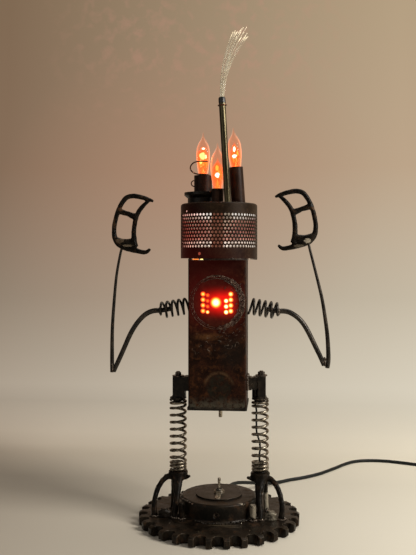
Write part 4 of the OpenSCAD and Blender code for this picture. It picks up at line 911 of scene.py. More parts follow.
def bead_growth():
    """A weld: overlapping lumps along the edges of the start mesh."""
    g = Growth("Weld bead", Width=0.004, Height=0.002, Spacing=0.0016, Scatter=0.3, Seed=1)
    line = g.put("MeshToCurve", {"Mesh": g["Geometry"]})
    even = g.put("ResampleCurve", {"Curve": line, "Length": g["Spacing"]}, mode="LENGTH")
    jolt = put(g.tree, "FunctionNodeRandomValue", {0: (-1, -1, -1), 1: (1, 1, 1), "Seed": g["Seed"]},
               data_type="FLOAT_VECTOR").outputs[0]
    moved = g.put("SetPosition", {"Geometry": even,
                                  "Offset": scaled(jolt, g["Scatter"] * (g["Width"] * 0.3))})
    drop = g.put("MeshUVSphere", {"Segments": 8, "Rings": 6, "Radius": 0.5})
    turned = put(g.tree, "FunctionNodeAlignRotationToVector", {"Vector": g.put("InputTangent")},
                 axis="X").outputs[0]
    size = scaled(gather(g["Spacing"] * 1.9, g["Width"], g["Height"]), g.chance(0.75, 1.2))
    return g.end(g.put("InstanceOnPoints", {"Points": moved, "Instance": drop, "Rotation": turned,
                                            "Scale": size}))


def perforation_growth():
    """Rows of round holes through the start mesh, each row half a step on from the one below."""
    g = Growth("Perforated wall", Holes=68, Rows=10, Hole=0.0036, Row_Pitch=0.00543, Lowest=0.0188,
               Radius=0.0605, Wall=0.0018)
    index, holes = g.index(), g["Holes"]
    row = calc("FLOOR", index / holes)
    angle = (index % holes + row % 2.0 * 0.5) / holes * (2 * math.pi)
    points = g.put("SetPosition", {"Geometry": g.put("Points", {"Count": holes * g["Rows"]}),
                                   "Position": round_z(g["Radius"], angle,
                                                       g["Lowest"] + row * g["Row_Pitch"])})
    punch = g.put("MeshCylinder", {"Vertices": 12, "Radius": g["Hole"] / 2.0, "Depth": g["Wall"] * 3.0})
    tools = g.put("InstanceOnPoints", {"Points": points, "Instance": punch,
                                       "Rotation": gather(0.0, math.pi / 2, angle)})
    tools = g.put("RealizeInstances", {"Geometry": tools})
    cut = g.put("MeshBoolean", {"Mesh 1": g["Geometry"], "Mesh 2": tools}, operation="DIFFERENCE",
                solver="MANIFOLD")
    return g.end(cut, smooth=False)


def plume_growth():
    """Glass fibres that rise from a round bundle, fan out and lean to one side."""
    g = Growth("Fibre plume", Fibres=40, Bundle=0.0028, Fibre=0.0007, Reach=0.12, Fan=0.0075, Lean=0.038,
               Seed=4)
    index, golden_angle = g.index(), 2.39996
    r = calc("SQRT", (index + 0.5) / g["Fibres"]) * g["Bundle"]
    points = g.put("SetPosition", {"Geometry": g.put("Points", {"Count": g["Fibres"]}),
                                   "Position": round_z(r, index * golden_angle)})
    keep = put(g.tree, "GeometryNodeCaptureAttribute", {"Geometry": points}, domain="POINT")
    for kind, name in (("VECTOR", "Spot"), ("FLOAT", "Length"), ("FLOAT", "Sway")):
        keep.capture_items.new(kind, name)
    feed(keep, {"Spot": g.put("InputPosition"), "Length": g.chance(0.84, 1.0),
                "Sway": g.chance(0.62, 1.12, 7.0)})
    length, sway = Num(keep.outputs["Length"]), Num(keep.outputs["Sway"])
    line = g.put("ResampleCurve", {"Curve": g.put("CurvePrimitiveLine", {"End": (0, 0, 1)}), "Count": 14})
    strands = g.put("InstanceOnPoints", {"Points": keep.outputs[0], "Instance": line})
    strands = g.put("RealizeInstances", {"Geometry": strands})
    f = g.along()
    x, y, _ = split(keep.outputs["Spot"])
    spread = f ** 1.3 * (g["Fan"] / g["Bundle"]) + 1.0
    drift = f ** 2.1 * g["Lean"] * sway
    height = f * (1.0 - f * 0.05) * (g["Reach"] * length)
    strands = g.put("SetPosition", {"Geometry": strands,
                                    "Position": gather(x * spread + drift, y * spread, height)})
    strands = g.put("StoreNamedAttribute", {"Geometry": strands, "Name": "warmth",
                                            "Value": f.run(0.965, 1.0)})
    return g.end(g.wire(strands, g["Fibre"] / 2.0, 5))


GROW = {}


def welds(name, runs, body, *nodes, width=None, height=0.003, spacing=0.0017, scatter=0.3, seed=1,
          finish="weld_steel"):
    """Weld beads along runs of points, riding on a body."""
    width = width or bpy.context.scene.lamp_sizes.weld_width
    obj = GROW["bead"].grow(name, path_mesh(name + "_path", runs), MAT[finish], Width=width, Height=height,
                            Spacing=spacing, Scatter=scatter, Seed=seed)
    return dress(obj, body, "weld_steel" if finish == "ring_steel" else finish, *nodes)


def spring(name, radius, wire, rise, turns, material, end_radius=None, **more):
    """A coil of round wire along Z, with its sizes in millimetres; it may draw in to another end radius."""
    return GROW["coil"].grow(name, None, material, Coil_Radius=radius * MM, Wire_Radius=wire * MM,
                             End_Radius=(end_radius or radius) * MM, Rise=rise * MM, Turns=turns, **more)


# ---------- pieces ----------

class LAMP_OT_stage(bpy.types.Operator):
    """Sets up the camera, the floor with its backdrop and the soft studio light"""
    bl_idname = "lamp.stage"
    bl_label = "Stage"

    def execute(self, context):
        scene = context.scene
        scene.view_settings.view_transform = "Standard"
        cam = bpy.data.cameras.new("camera")
        cam.sensor_fit, cam.sensor_width = "AUTO", 36.0
        # the camera is level, so a shift brings the horizon above the middle
        cam.lens = FOCAL_PX / FRAME_TALL_PX * cam.sensor_width
        cam.shift_y = -HORIZON_RISE_PX / FRAME_TALL_PX
        cam.clip_end = 50.0
        eye = show("camera", cam)
        eye.location = (0.0909, -1.2418, 0.421)
        eye.rotation_euler = (math.radians(90), 0, math.radians(5))
        scene.camera = eye
        self.sweep()
        world = bpy.data.worlds.new("studio")
        scene.world = world
        world.use_nodes = True
        # the world lights little, and shows as a pale wall past the edges of the floor
        t = world.node_tree
        seen = Num(put(t, "ShaderNodeLightPath").outputs["Is Camera Ray"])
        feed(t.nodes["Background"], {0: (0.93, 0.87, 0.79, 1), 1: seen.run(0.0, 1.0, 0.11, 0.58)})
        for name, at, aim, size, power, colour in (
                ("key", (1.5, -0.7, 1.25), (0, 0, 0.3), 0.8, 38, (1.0, 0.95, 0.87)),
                ("fill", (-1.3, -1.5, 1.0), (0, 0, 0.3), 1.2, 3, (1.0, 0.93, 0.86)),
                ("top", (0.3, 0.6, 2.0), (0, 0.1, 0.2), 1.2, 10, (1.0, 0.95, 0.88))):
            lamp = bpy.data.lights.new(name, "AREA")
            lamp.size, lamp.energy, lamp.color = size, power, colour
            obj = show(name, lamp)
            obj.location = at
            obj.rotation_euler = (Vector(aim) - Vector(at)).to_track_quat("-Z", "Y").to_euler()
        return {"FINISHED"}

    def sweep(self):
        """A floor that curves up into a backdrop."""
        half, start, bend = 6.0, 0.9, 1.4
        steps = [(-half, 0.0), (start, 0.0)]
        angles = np.linspace(0.1, math.pi / 2, 12)
        steps += [(start + bend * math.sin(a), bend - bend * math.cos(a)) for a in angles]
        steps += [(start + bend, 5.0)]
        verts = [(x, y, z - 0.0003) for y, z in steps for x in (-half, half)]
        faces = [(2 * i, 2 * i + 1, 2 * i + 3, 2 * i + 2) for i in range(len(steps) - 1)]
        floor = show("floor_sweep", mesh_of("floor_sweep", verts, faces), paper())
        floor.data.shade_smooth()


def paper():
    """Matt paper, pale on the floor, with painted shade that makes it warmer and darker up the backdrop and
    to the left.
    """
    m, t, skin, co = fresh("paper")
    x, y, z = split(co)
    # painted shade: darker and browner up the backdrop
    base = ramp((z + y * 0.25).run(0.0, 2.2), [
        (0.0, (0.80, 0.76, 0.65)), (0.1, (0.74, 0.68, 0.55)), (0.32, (0.56, 0.485, 0.37)),
        (0.62, (0.5, 0.37, 0.25)), (1.0, (0.455, 0.345, 0.22))])
    wall = y.run(0.4, 1.15)
    # painted shade: darker towards the left
    side = x.run(-0.72 - wall * 0.43, wall * 0.3 + 0.35)
    colour = mix(side, mix(1.0, base, (0.47, 0.41, 0.39, 1), "MULTIPLY"), base)
    # painted pink light in patches high on the backdrop
    pink_light = speckle(co, 0.055, 3, 0.5, 0.3).run(0.5, 0.68) * z.run(0.95, 1.35) * abs(x + 0.25).run(0.75, 0.3)
    colour = mix(pink_light * 0.24, colour, (0.56, 0.27, 0.2, 1))
    # painted light: a warm red-brown cast at the upper left of the backdrop
    upper_left_cast = span((x + 0.3) / 0.85, (z - 0.75) / 0.75)
    colour = mix(upper_left_cast.run(1.0, 0.1, 0.0, 0.34), colour, (0.47, 0.22, 0.14, 1))
    # painted light: the floor behind the lamp is paler, most to the left
    band = y.run(0.22, 0.48) * y.run(0.98, 0.6)
    colour = scaled(colour, band * x.run(0.0, -0.42, 0.18, 0.48) + 1.0)
    seen = put(t, "ShaderNodeLightPath").outputs
    ray = calc("MAXIMUM", calc("MAXIMUM", seen["Is Camera Ray"], seen["Is Glossy Ray"]),
               seen["Is Transmission Ray"])
    share = wall * ray
    feed(skin, {"Base Color": mix(share, colour, (0, 0, 0, 1)), "Emission Color": colour,
                "Emission Strength": share, "Roughness": 0.9, "Specular IOR Level": 0.1})
    # a camera behind the backdrop looks through it
    hidden = calc("MULTIPLY", put(t, "ShaderNodeNewGeometry").outputs["Backfacing"], seen["Is Camera Ray"])
    clear = put(t, "ShaderNodeBsdfTransparent").outputs[0]
    both = put(t, "ShaderNodeMixShader", {0: hidden, 1: skin.outputs[0], 2: clear}).outputs[0]
    feed(t.nodes["Material Output"], {"Surface": both})
    return m


class LAMP_OT_mains_lead(bpy.types.Operator):
    """Lays the mains lead with its coil, strain relief, tie and plug"""
    bl_idname = "lamp.mains_lead"
    bl_label = "Mains lead"

    def execute(self, context):
        pts = [p * MM for p in self.route()]
        curve = bpy.data.curves.new("mains_cord_tube", "CURVE")
        curve.dimensions = "3D"
        curve.bevel_depth, curve.bevel_resolution, curve.use_fill_caps = CORD_R * MM, 3, True
        run = curve.splines.new("POLY")
        run.points.add(len(pts) - 1)
        for knot, p in zip(run.points, pts):
            knot.co = (*p, 1)
        run.use_smooth = True
        cord = show("mains_cord_tube", curve, MAT["black_cord"])
        dress(cord, "base", "black_cord", "mains_cord", "cord_coil", "cord_tail")
        plug = self.plug()
        loop = arc((COIL_AT[0], COIL_AT[1] - COIL_R, 9), 10.2, 25, "x", 0, 359)[1]
        strap = [(x, y, max(z, 0.001)) for x, y, z in loop]
        tie = join("cord_tie", [tube_mesh("tie", strap, 0.0009, 8, ref=(1, 0, 0.01))], MAT["pale_plastic"])
        dress(tie, "base", "pale_plastic")
        self.relief()
        return {"FINISHED"}

    def route(self):
        """The lead's middle line in millimetres; the coil's turns lie side by side in three layers."""
        outer, inner = COIL_R + CORD_R, COIL_R - CORD_R
        low, mid, high = CORD_R, 3 * CORD_R, 5 * CORD_R
        places = [(outer, low), (inner, low), (inner, mid), (inner, high), (outer, high), (outer, mid),
                  (outer + 2 * CORD_R, mid)]
        line = [Vector(p) for p in smooth(CORD_ROUTE, 5)]
        for a, b in zip(places, places[1:]):
            for k in range(1, 49):
                turn = k / 48
                # each turn moves to the next place in its last part
                w = min(max((turn - 0.78) / 0.22, 0), 1)
                w = w * w * (3 - 2 * w)
                r, z = a[0] + (b[0] - a[0]) * w, a[1] + (b[1] - a[1]) * w
                phi = math.pi / 2 - 2 * math.pi * turn
                line.append(Vector((COIL_AT[0] + r * math.cos(phi), COIL_AT[1] + r * math.sin(phi), z)))
        return line + [Vector(p) for p in smooth(TAIL_ROUTE, 5)[1:]]

    def plug(self):
        turn = shift(*PLUG_AT, 7) @ spin(PLUG_TURN)
        sections = [(0, 4.2, 4.2), (6, 4.6, 4.4), (11, 6.6, 5.4), (19, 9.8, 6.6), (26, 12.4, 7.0),
                    (31.5, 12.9, 7.0), (35, 12.3, 6.5)]
        mesh = loft("plug_body", [[(x * MM, math.copysign(abs(c) ** 0.6, c) * half * MM,
                                    math.copysign(abs(s) ** 0.7, s) * tall * MM) for c, s in circle(24)]
                                  for x, half, tall in sections])
        shade(mesh, 50)
        body = place(show("plug_body", mesh, MAT["black_plastic"]), turn)
        dress(body, "base", "black_plastic", "mains_plug")
        pins = []
        for y in (-9.5, 9.5):
            pin = revolve("pin", [(0, 0), (1.9, 0), (2, 1), (2, 17.2), (1.6, 18.5), (0.9, 19), (0, 19)], 20)
            pin.transform(shift(34.8, y, 0) @ spin(90, "Y"))
            pins.append(pin)
        pair = place(join("plug_pins", pins, MAT["plated_steel"]), turn)
        dress(pair, "base", "plated_steel")
        return [body, pair]

    def relief(self):
        """A tapered rubber sleeve with ribs where the lead leaves the hub."""
        wall, end = 60.17, 88.5
        profile = [(0, 27.0), (5.3, 27.0), (5.3, wall), (8, wall), (8, wall + 1.6), (7.2, wall + 2.2),
                   (5.6, wall + 2.6)]
        y = wall + 4.0
        while y < end:
            r = 5.4 - 1.75 * (y - wall) / 30
            profile += [(r, y), (r, y + 1.5), (r - 0.9, y + 1.9), (r - 0.9, y + 2.7)]
            y += 3.1
        profile += [(3.5, 89.2), (3.15, 90), (0, 90)]
        sleeve = show("strain_relief", revolve("strain_relief", profile, 40), MAT["black_rubber"])
        dress(place(sleeve, shift(12, 0, 28) @ spin(-90, "X")), "base", "black_rubber", "cord_gland")


class LAMP_OT_base(bpy.types.Operator):
    """Finishes the sprocket, the switch and the welds on them"""
    bl_idname = "lamp.base"
    bl_label = "Sprocket and switch"

    def execute(self, context):
        wear(oily_cast_iron="sprocket_base", weld_steel="set_screw", dark_steel="switch_plate",
             black_plastic="switch_body", plated_steel="switch_nut switch_tag toggle_lever")
        thread = spring("switch_thread", 5.9, 0.22, 6.2, 7, MAT["plated_steel"], Steps=20.0, Sides=5)
        dress(place(thread, shift(0, 0, 44.7)), "base", "plated_steel")
        runs = [arc((0, 0, 15.2), 62.5, 44, "z", a, 58) for a in (238, 300)]
        welds("hub_welds", runs, "base", width=0.004, height=0.0026, scatter=0.9, seed=3, finish="dark_steel")
        drops = [lump((x, y, 15.4), r, x) for x, y, r in (
            (69.7, -40.7, 2.5), (103, -31, 2.3), (-64.2, -41, 1.9), (-98.1, -36, 1.6), (38, -56.8, 1.0),
            (-23, -101, 0.9), (52, -88, 0.8), (-71, -66, 0.8))]
        drops += [lump((41, -55, 42), 0.9, 3), lump((43.5, -52, 43), 0.6, 4),
                  lump((38.6, -55.5, 42.6), 0.5, 5)]
        dress(join("base_drops", drops, MAT["plated_steel"]), "base", "plated_steel")
        edge = 61.2
        crumbs = [lump((edge * math.cos(a) - 0.6, edge * math.sin(a), 40.2 + 1.6 * math.sin(7 * a)),
                       1.7, a * 5, 0.8) for a in np.linspace(3.3, 4.05, 9)]
        dress(join("hub_crumbs", crumbs, MAT["weld_steel"]), "base", "weld_steel")
        for (side, name), finish in zip(SIDES, ("dark_steel", "pale_steel")):
            bm = bmesh.new()
            bm.from_mesh(frame["nodes"]["foot_bolts"].data)
            bmesh.ops.delete(bm, geom=[v for v in bm.verts if v.co.x * side < 0], context="VERTS")
            mesh = mesh_from(bm, "bolt_lump")
            tidy(mesh)
            bolt = show(name + "_bolt_cast", mesh)
            cast(bolt, MAT[finish], 0.0006, 0.0006, 3, side * 2.3, scale=0.0035)
            dress(bolt, "base", "dark_steel", "foot_bolts")
        return {"FINISHED"}


class LAMP_OT_feet(bpy.types.Operator):
    """Casts the two feet and welds them to the sprocket"""
    bl_idname = "lamp.feet"
    bl_label = "Feet"

    def execute(self, context):
        rough = context.scene.lamp_sizes.roughness
        for side, name in ((side, name + "_foot") for side, name in SIDES):
            mesh = frame["nodes"][name].data.copy()
            tidy(mesh)
            foot = show(name + "_cast", mesh)
            cast(foot, MAT["cast_parts"], 0.0011, rough, 5, side * 3.1)
            dress(foot, "base", "oily_cast_iron", name)
            runs = [arc((side * (LEG_X + x), y, 15.5), r, 22)
                    for x, y, r in ((1.5, -37, 5.6), (9.5, 9, 4.9), (33, -32, 6.2), (-10.5, -41.5, 5.5))]
            welds(name + "_welds", runs, "base", scatter=0.6, seed=5 + side)
        return {"FINISHED"}


class LAMP_OT_leg_springs(bpy.types.Operator):
    """Winds the two leg springs and threads the lead through the right one"""
    bl_idname = "lamp.leg_springs"
    bl_label = "Leg springs"

    def execute(self, context):
        # the left leg spring takes the darker copy of the bare finish, painted shade
        for (side, name), turn, finish, slot in zip(SIDES, (200, 20), ("worn_spring", "bright_spring"),
                                                    ("dark_spring", "bright_spring")):
            name += "_leg_spring"
            rise = SPRING_TOP - FOOT_TOP - 2 * LEG_WIRE
            coil = spring(name + "_wire", SPRING_R, LEG_WIRE, rise, 12, MAT[finish], Low_Turns=2.5,
                          High_Turns=1.5)
            place(coil, shift(side * LEG_X, 0, FOOT_TOP + LEG_WIRE) @ spin(turn))
            stretch(coil, [name])
        low, high = [show(name, tube_mesh(name, smooth(route, 5) * MM, LEAD_R * MM, 10), MAT["black_cord"])
                     for name, route in (("hub_lead_wire", HUB_LEAD), ("leg_lead_wire", LEG_LEAD))]
        dress(low, "base", "black_cord", "hub_lead")
        stretch(high, ["leg_lead"])
        return {"FINISHED"}


class LAMP_OT_torso(bpy.types.Operator):
    """Finishes the torso box, its brackets and its welds"""
    bl_idname = "lamp.torso"
    bl_label = "Torso"

    def execute(self, context):
        wear(torso="torso_box", dark_steel="torso_sole torso_top_plate left_leg_bracket right_leg_bracket",
             weld_steel="bracket_bolts head_welds", black_plastic="dimmer_body", plated_steel="dimmer_shaft",
             pale_plastic="terminal_block", circuit_board="led_driver chest_board", rusty_steel="neck_plate",
             brass="wire_nipple")
        front = -TORSO_HALF - 0.1
        # radius, start and sweep of each bead of the ring, and of the faint ring beside it
        strong = ((43.6, -55, 110), (42.1, -80, 190), (40.4, -88, 212), (38.6, -70, 150), (37.2, -84, 205),
                  (35.6, -50, 120))
        faint = ((41.2, 108, 170), (38.6, 112, 164), (36.6, 140, 110))
        for name, arcs, width, height, slack, seed in (("chest_weld_ring", strong, 0.0013, 0.0015, 0.9, 11),
                                                       ("chest_weld_trace", faint, 0.0014, 0.0006, 0.6, 12)):
            rings = [arc((CHEST[0] + 0.8, front, CHEST[1]), r, 70, "y", start, sweep)
                     for r, start, sweep in arcs]
            welds(name, rings, "torso", "chest_ring", width=width, height=height, spacing=0.0013,
                  scatter=slack, seed=seed, finish="ring_steel")
        rng = random.Random(7)
        dots = []
        for _ in range(46):
            a = rng.uniform(-1.6, 1.2)
            r = rng.uniform(30, 52)
            x, z = CHEST[0] + r * math.cos(a), CHEST[1] - 10 + r * math.sin(a) * 1.1
            if abs(x) < TORSO_HALF - 3:
                dots.append(straight((x, front, z), (x + 1.4, front, z + 0.8), 2))
        welds("chest_spatter", dots, "torso", width=0.0016, height=0.0012, spacing=0.0012, scatter=0.8,
              seed=13)
        runs = []
        for side, low, high in ((-1, 209, 230), (1, 212, 232)):
            x = side * (TORSO_HALF + 1)
            runs += [straight((x, y, low), (x, y, high), 14) for y in (-10.4, 10.4)]
            runs.append(straight((x, -10, high + 1.2), (x, 10, high + 1.2), 12))
        welds("bracket_welds", runs, "torso", width=0.0046, height=0.0042, scatter=0.5, seed=17)
        out, z = TORSO_HALF + 0.4, TORSO_LOW - 0.4
        seams = [straight(a, b, 40) for a, b in (
            ((-43, -out, z), (43, -out, z)), ((out, -43, z), (out, 43, z)), ((-out, -43, z), (-out, 43, z)),
            ((-43, out, z), (43, out, z)))]
        welds("sole_welds", seams, "torso", width=0.0018, height=0.0016, spacing=0.0015, scatter=0.4, seed=19,
              finish="dark_steel")
        return {"FINISHED"}


class LAMP_OT_chest_lamp(bpy.types.Operator):
    """Lights the chest: a red diffuser and a small lamp in each hole"""
    bl_idname = "lamp.chest_lamp"
    bl_label = "Chest lamp"

    def execute(self, context):
        wear(red_lens="chest_lens")
        # middle across and up from the chest's, radius, and warmth in the middle
        spots = []
        for row in (-1.5, -0.5, 0.5, 1.5):
            spots.append((-21.5, row * HOLE_PITCH, 4.1, 0.56))
            spots.append((21.5, row * HOLE_PITCH, 4.3, 0.74))
            spots.append((-14.4, (row - 0.2) * HOLE_PITCH, 3.2, 0.78 if row < -1 else 0.3))
            if row < 1:
                spots.append((14.4, (row - 0.2) * HOLE_PITCH, 4.1, 1.05))
        spots.append((CHEST[0], 0, CHEST_EYE_R, 1.1))
        verts, faces, heat = [], [], []
        rings, steps, front = 8, 24, -45.9
        for x, dz, r, hot in spots:
            first, z = len(verts), CHEST[1] + dz
            verts.append((x * MM, front * MM, z * MM))
            heat.append(min(hot, 1.0))
            for i in range(1, rings + 1):
                u = i / rings
                verts += [((x + r * u * c) * MM, (front + 0.75 * u * u) * MM, (z + r * u * s) * MM)
                          for c, s in circle(steps)]
                heat += [min(max(0.0, hot * (1 - u ** (1.25 if r > 5 else 1.8))), 1.0)] * steps
            for k in range(steps):
                n = (k + 1) % steps
                faces.append((first, first + 1 + n, first + 1 + k))
                for i in range(rings - 1):
                    a, b = first + 1 + i * steps, first + 1 + (i + 1) * steps
                    faces.append((a + k, a + n, b + n, b + k))
        mesh = warm(mesh_of("chest_lamps", verts, faces), heat)
        mesh.flip_normals()
        mesh.shade_smooth()
        dress(show("chest_lamps", mesh, MAT["red_lamp"]), "torso", "red_lamp", "chest_leds")
        return {"FINISHED"}


class LAMP_OT_head(bpy.types.Operator):
    """Punches the head's drum and finishes its lid"""
    bl_idname = "lamp.head"
    bl_label = "Head"

    def execute(self, context):
        tall, edge, lip = HEAD_HIGH - HEAD_LOW, 4.0, 52.4
        corner = [math.radians(a) for a in (0, 18, 36, 54, 72, 90)]

        def bend(r, angles):
            return [(HEAD_R - edge + r * math.cos(a), tall - edge + r * math.sin(a)) for a in angles]

        outline = [(HEAD_R, 0.0), (HEAD_R, 14.0), (HEAD_R, 76.0), *bend(edge, corner), (lip, tall),
                   (lip, tall - HEAD_WALL), *bend(edge - HEAD_WALL, reversed(corner)),
                   (HEAD_R - HEAD_WALL, 76.0), (HEAD_R - 0.7, 74.0), (HEAD_R - 0.7, 14.0),
                   (HEAD_R - 0.7, 0.0)]
        drum = GROW["holes"].grow("head_drum_wall", revolve("drum_shell", outline, 136, closed=True),
                                  MAT["grey_steel"], Hole=context.scene.lamp_sizes.perforation)
        self.extra_holes(drum)
        place(drum, shift(0, 0, HEAD_LOW))
        self.round_normals(drum.data)
        dress(drum, "torso", "grey_steel", "head_drum")
        wear(dark_steel="head_top_plate")
        lid = SEAT + 0.6
        runs = [arc((*at, lid), r, count) for at, r, count in (
            (ANTENNA, 6.2, 18), (RIGHT_BULB, 12.2, 34), (FRONT_BULB, 10.4, 30))]
        runs.append(arc((-25, 6, lid), 26.6, 60, "z", 200, 200))
        welds("lid_welds", runs, "torso", width=0.0032, height=0.0026, scatter=0.4, seed=23)
        runs = [arc((0, 0, HEAD_LOW - 0.6), 60.4, 20, "z", a, 16) for a in (-70, -30, 10, 60, 120)]
        welds("neck_welds", runs, "torso", width=0.003, height=0.0026, scatter=0.4, seed=29)
        leaks = []
        for start, sweep, hot in ((-134, 14, 0.3), (-116, 4, 0.7), (-42, 4, 0.25)):
            line = arc((0, 0, HEAD_LOW - 1.4), 56.5, 16, "z", start, sweep)[1]
            leaks.append(heated(tube_mesh("leak", line, 0.0007, 8, ref=(0, 0, 1)), lambda p: hot))
        dress(join("light_leaks", leaks, MAT["flame_lamp"]), "torso", "flame_lamp")
        return {"FINISHED"}

    def extra_holes(self, drum):
        """Two larger holes, each at an angle and a height, that are out of the rows."""
        punches = []
        for turn, z, d in ((-141.6, 74, 3.8), (-115.4, 7.4, 5)):
            punch = revolve("punch", [(0, -4), (d / 2, -4), (d / 2, 4), (0, 4)], 14)
            punch.transform(spin(turn) @ shift(HEAD_R - 0.9, 0, z) @ spin(90, "Y"))
            punches.append(punch)
        tool = join("punches", punches)
        step = drum.modifiers.new("punch", "BOOLEAN")
        step.operation, step.object, step.solver = "DIFFERENCE", tool, "MANIFOLD"
        bake_modifiers(drum)
        bpy.data.objects.remove(tool)

    def round_normals(self, mesh):
        """Points the drum's wall normals straight out or in, so that its flats don't show."""
        shade(mesh, 35)
        normals = [tuple(n.vector) for n in mesh.corner_normals]
        for poly in mesh.polygons:
            out = Vector((poly.center.x, poly.center.y, 0)).normalized()
            facing = poly.normal.dot(out)
            if abs(facing) > 0.985:
                for i in poly.loop_indices:
                    p = mesh.vertices[mesh.loops[i].vertex_index].co
                    n = Vector((p.x, p.y, 0)).normalized()
                    normals[i] = tuple(n if facing > 0 else -n)
        mesh.normals_split_custom_set(normals)


FLAME = [(0, 7.0), (0.071, 7.5), (0.286, 9.6), (0.45, 10.8), (0.529, 10.9), (0.60, 10.6), (0.657, 10.0),
         (0.743, 8.0), (0.829, 4.3), (0.88, 2.6), (0.929, 1.5), (0.97, 0.9), (1, 0.5)]
FLAME_RUN = smooth(FLAME, 6)


def flame_r(u):
    """Radius of a flame bulb's glass in millimetres at a share of its length."""
    return float(np.interp(u, FLAME_RUN[:, 0], FLAME_RUN[:, 1]))


class LAMP_OT_bulbs(bpy.types.Operator):
    """Blows the three flame bulbs and finishes their sockets"""
    bl_idname = "lamp.bulbs"
    bl_label = "Flame bulbs"
    # each bulb's place, the height of its glass above the lid, its lean and its turn
    BULBS = ((LEFT_BULB, CUP_TALL - 4, 0, 20), (RIGHT_BULB, 61.8 - 9.6, -4, 80),
             (FRONT_BULB, 23.8 - 2, 0, -35))
    # each bulb's glows: place across and up, half width, half height and warmth
    GLOWS = (((-0.8, 35, 4.8, 6.4, 0.74), (0.8, 47, 2.8, 1.5, 0.95), (4.6, 34, 1.5, 3.2, 0.9),
              (-3.2, 26, 2.4, 3.4, 0.62), (0.2, 10, 1.2, 6.0, 0.3)),
             ((-1.0, 27, 3.6, 3.0, 1.0), (-0.4, 38.5, 1.9, 4.4, 0.95), (4.2, 31, 1.6, 4.5, 0.38),
              (0.2, 11, 1.2, 6.5, 0.3)),
             ((0.0, 23, 3.9, 3.8, 1.0), (-0.5, 34, 2.6, 4.6, 0.42), (0.2, 10, 1.2, 6.0, 0.3)))

    def execute(self, context):
        tall, wall = FLAME_TALL, GLASS_WALL
        us = [i / 56 for i in range(57)]
        outer = [(0, 0), *((flame_r(u), u * tall) for u in us), (0, tall)]
        inner = [(0, wall), *((max(flame_r(u) - wall, 0.1), wall + u * (tall - 2.6)) for u in us),
                 (0, tall - 1.6)]
        glasses, hazes, plates = [], [], []
        for k, ((x, y), rise, lean, turn) in enumerate(self.BULBS):
            stand = shift(x, y, SEAT) @ spin(lean, "Y") @ shift(0, 0, rise) @ spin(turn)
            for profile in (outer, inner):
                mesh = revolve("glass", profile, 48)
                if profile is inner:
                    mesh.flip_normals()
                heated(mesh, lambda p: max(0.0, 1 - abs(p.z - 0.024) / 0.036))
                mesh.transform(stand)
                glasses.append(mesh)
            for share, low, high, hot in ((0.84, 2.0, 52, 0.5), (0.66, 4.0, 49, 0.8)):
                cloud = [(0, low), *((flame_r(u) * share, low + u * (high - low)) for u in us), (0, high)]
                haze = revolve("haze", cloud, 32)
                haze.transform(spin(-turn) @ shift(0, 1.8, 0) @ Matrix.Diagonal((1, 0.6, 1, 1)))
                heated(haze, lambda p: hot * max(0.0, 1 - (abs(p.z - 0.022) / 0.034) ** 1.6))
                haze.transform(stand)
                hazes.append(haze)
            for part in self.flame_plates():
                part.transform(stand)
                plates.append(part)
            foot = stand.to_translation() / MM
            # the glows stand in front of the plates and lean with the bulb
            for across, up, wide, high, hot in self.GLOWS[k]:
                middle = shift(foot.x + across - (0.07 * up if lean else 0), foot.y - 4.4, foot.z + up)
                core = lump((0, 0, 0), wide, k + up, high / wide, 0.25)
                core.transform(middle @ Matrix.Diagonal((1, 0.55, 1, 1)))
                plates.append(heated(core, lambda p: hot))
                for grow, share in ((1.4, 0.8), (1.9, 0.5)):
                    halo = lump((0, 0, 0), wide * grow, k + up, high / wide, 0.15)
                    halo.transform(middle @ shift(0, 1.2, 0) @ Matrix.Diagonal((1, 0.45, 1, 1)))
                    hazes.append(heated(halo, lambda p: share))
        glass = dress(join("flame_glasses", glasses, MAT["flame_glass"]), "torso", "flame_glass",
                      "bulb_glasses")
        haze = dress(join("flame_haze", hazes, MAT["glow"]), "torso", "flame_lamp")
        dress(join("flame_plates", plates, MAT["flame_lamp"]), "torso", "flame_lamp", "bulb_electrodes")
        glass.data.shade_smooth()
        haze.data.shade_smooth()
        wear(brass="bulb_caps", dark_steel="lamp_cup", socket_tube="left_socket right_socket",
             sunk_socket="front_socket")
        self.wires()
        return {"FINISHED"}

    def flame_plates(self):
        """Two bent flame shaped plates on their stems, and the stem press, in one bulb's own frame."""
        shape = [(-4.6, 0), (-6.3, 4), (-6.0, 8.5), (-3.6, 12.5), (-2.0, 17.5), (-0.6, 20.5), (1.1, 17),
                 (1.8, 20), (3.2, 14.5), (5.4, 10), (6.3, 5), (4.6, 0)]
        out = []
        for side in (-1, 1):
            rows = [[(x * MM, side * (1.7 + 0.012 * x * x + thick) * MM, (17 + z) * MM) for x, z in shape]
                    for thick in (0, 0.5)]
            plate = loft("plate", rows, triangles=True)
            out.append(heated(plate, lambda p: max(0.15, 0.55 - abs(p.z - 0.027) / 0.03)))
            line = [(0, side * 0.0013, 0.001), (0, side * 0.0014, 0.010), (0, side * 0.0018, 0.018)]
            out.append(heated(tube_mesh("stem", line, 0.0005, 8, ref=(1, 0, 0)), lambda p: 0.1))
        press = revolve("press", [(0, 0.9), (4.6, 0.9), (4.2, 3), (2.6, 8), (2.4, 12), (0, 12.4)], 20)
        out.append(heated(press, lambda p: 0.12 + 0.4 * p.z / 0.012))
        return out

    def wires(self):
        """The copper loop and the small hook at the left bulb's cup."""
        cx, cy = LEFT_BULB
        rim, hook_r = SEAT + CUP_TALL + 1.1, 4.6
        line = smooth([(cx + x, cy + y, rim + z) for x, y, z in WIRE_LOOP], 5) * MM
        loop = tube_mesh("loop", line, 0.0011, 12, ref=(0, 0.2, 1))
        line = arc((cx - 14.6, cy, rim - 13.5), hook_r, 19, "y", 90, 180)[1]
        hook = tube_mesh("hook", line, 0.0009, 12)
        both = join("copper_loops", [loop, hook], MAT["copper_wire"])
        both.data.shade_smooth()
        dress(both, "torso", "copper_wire", "wire_loops")


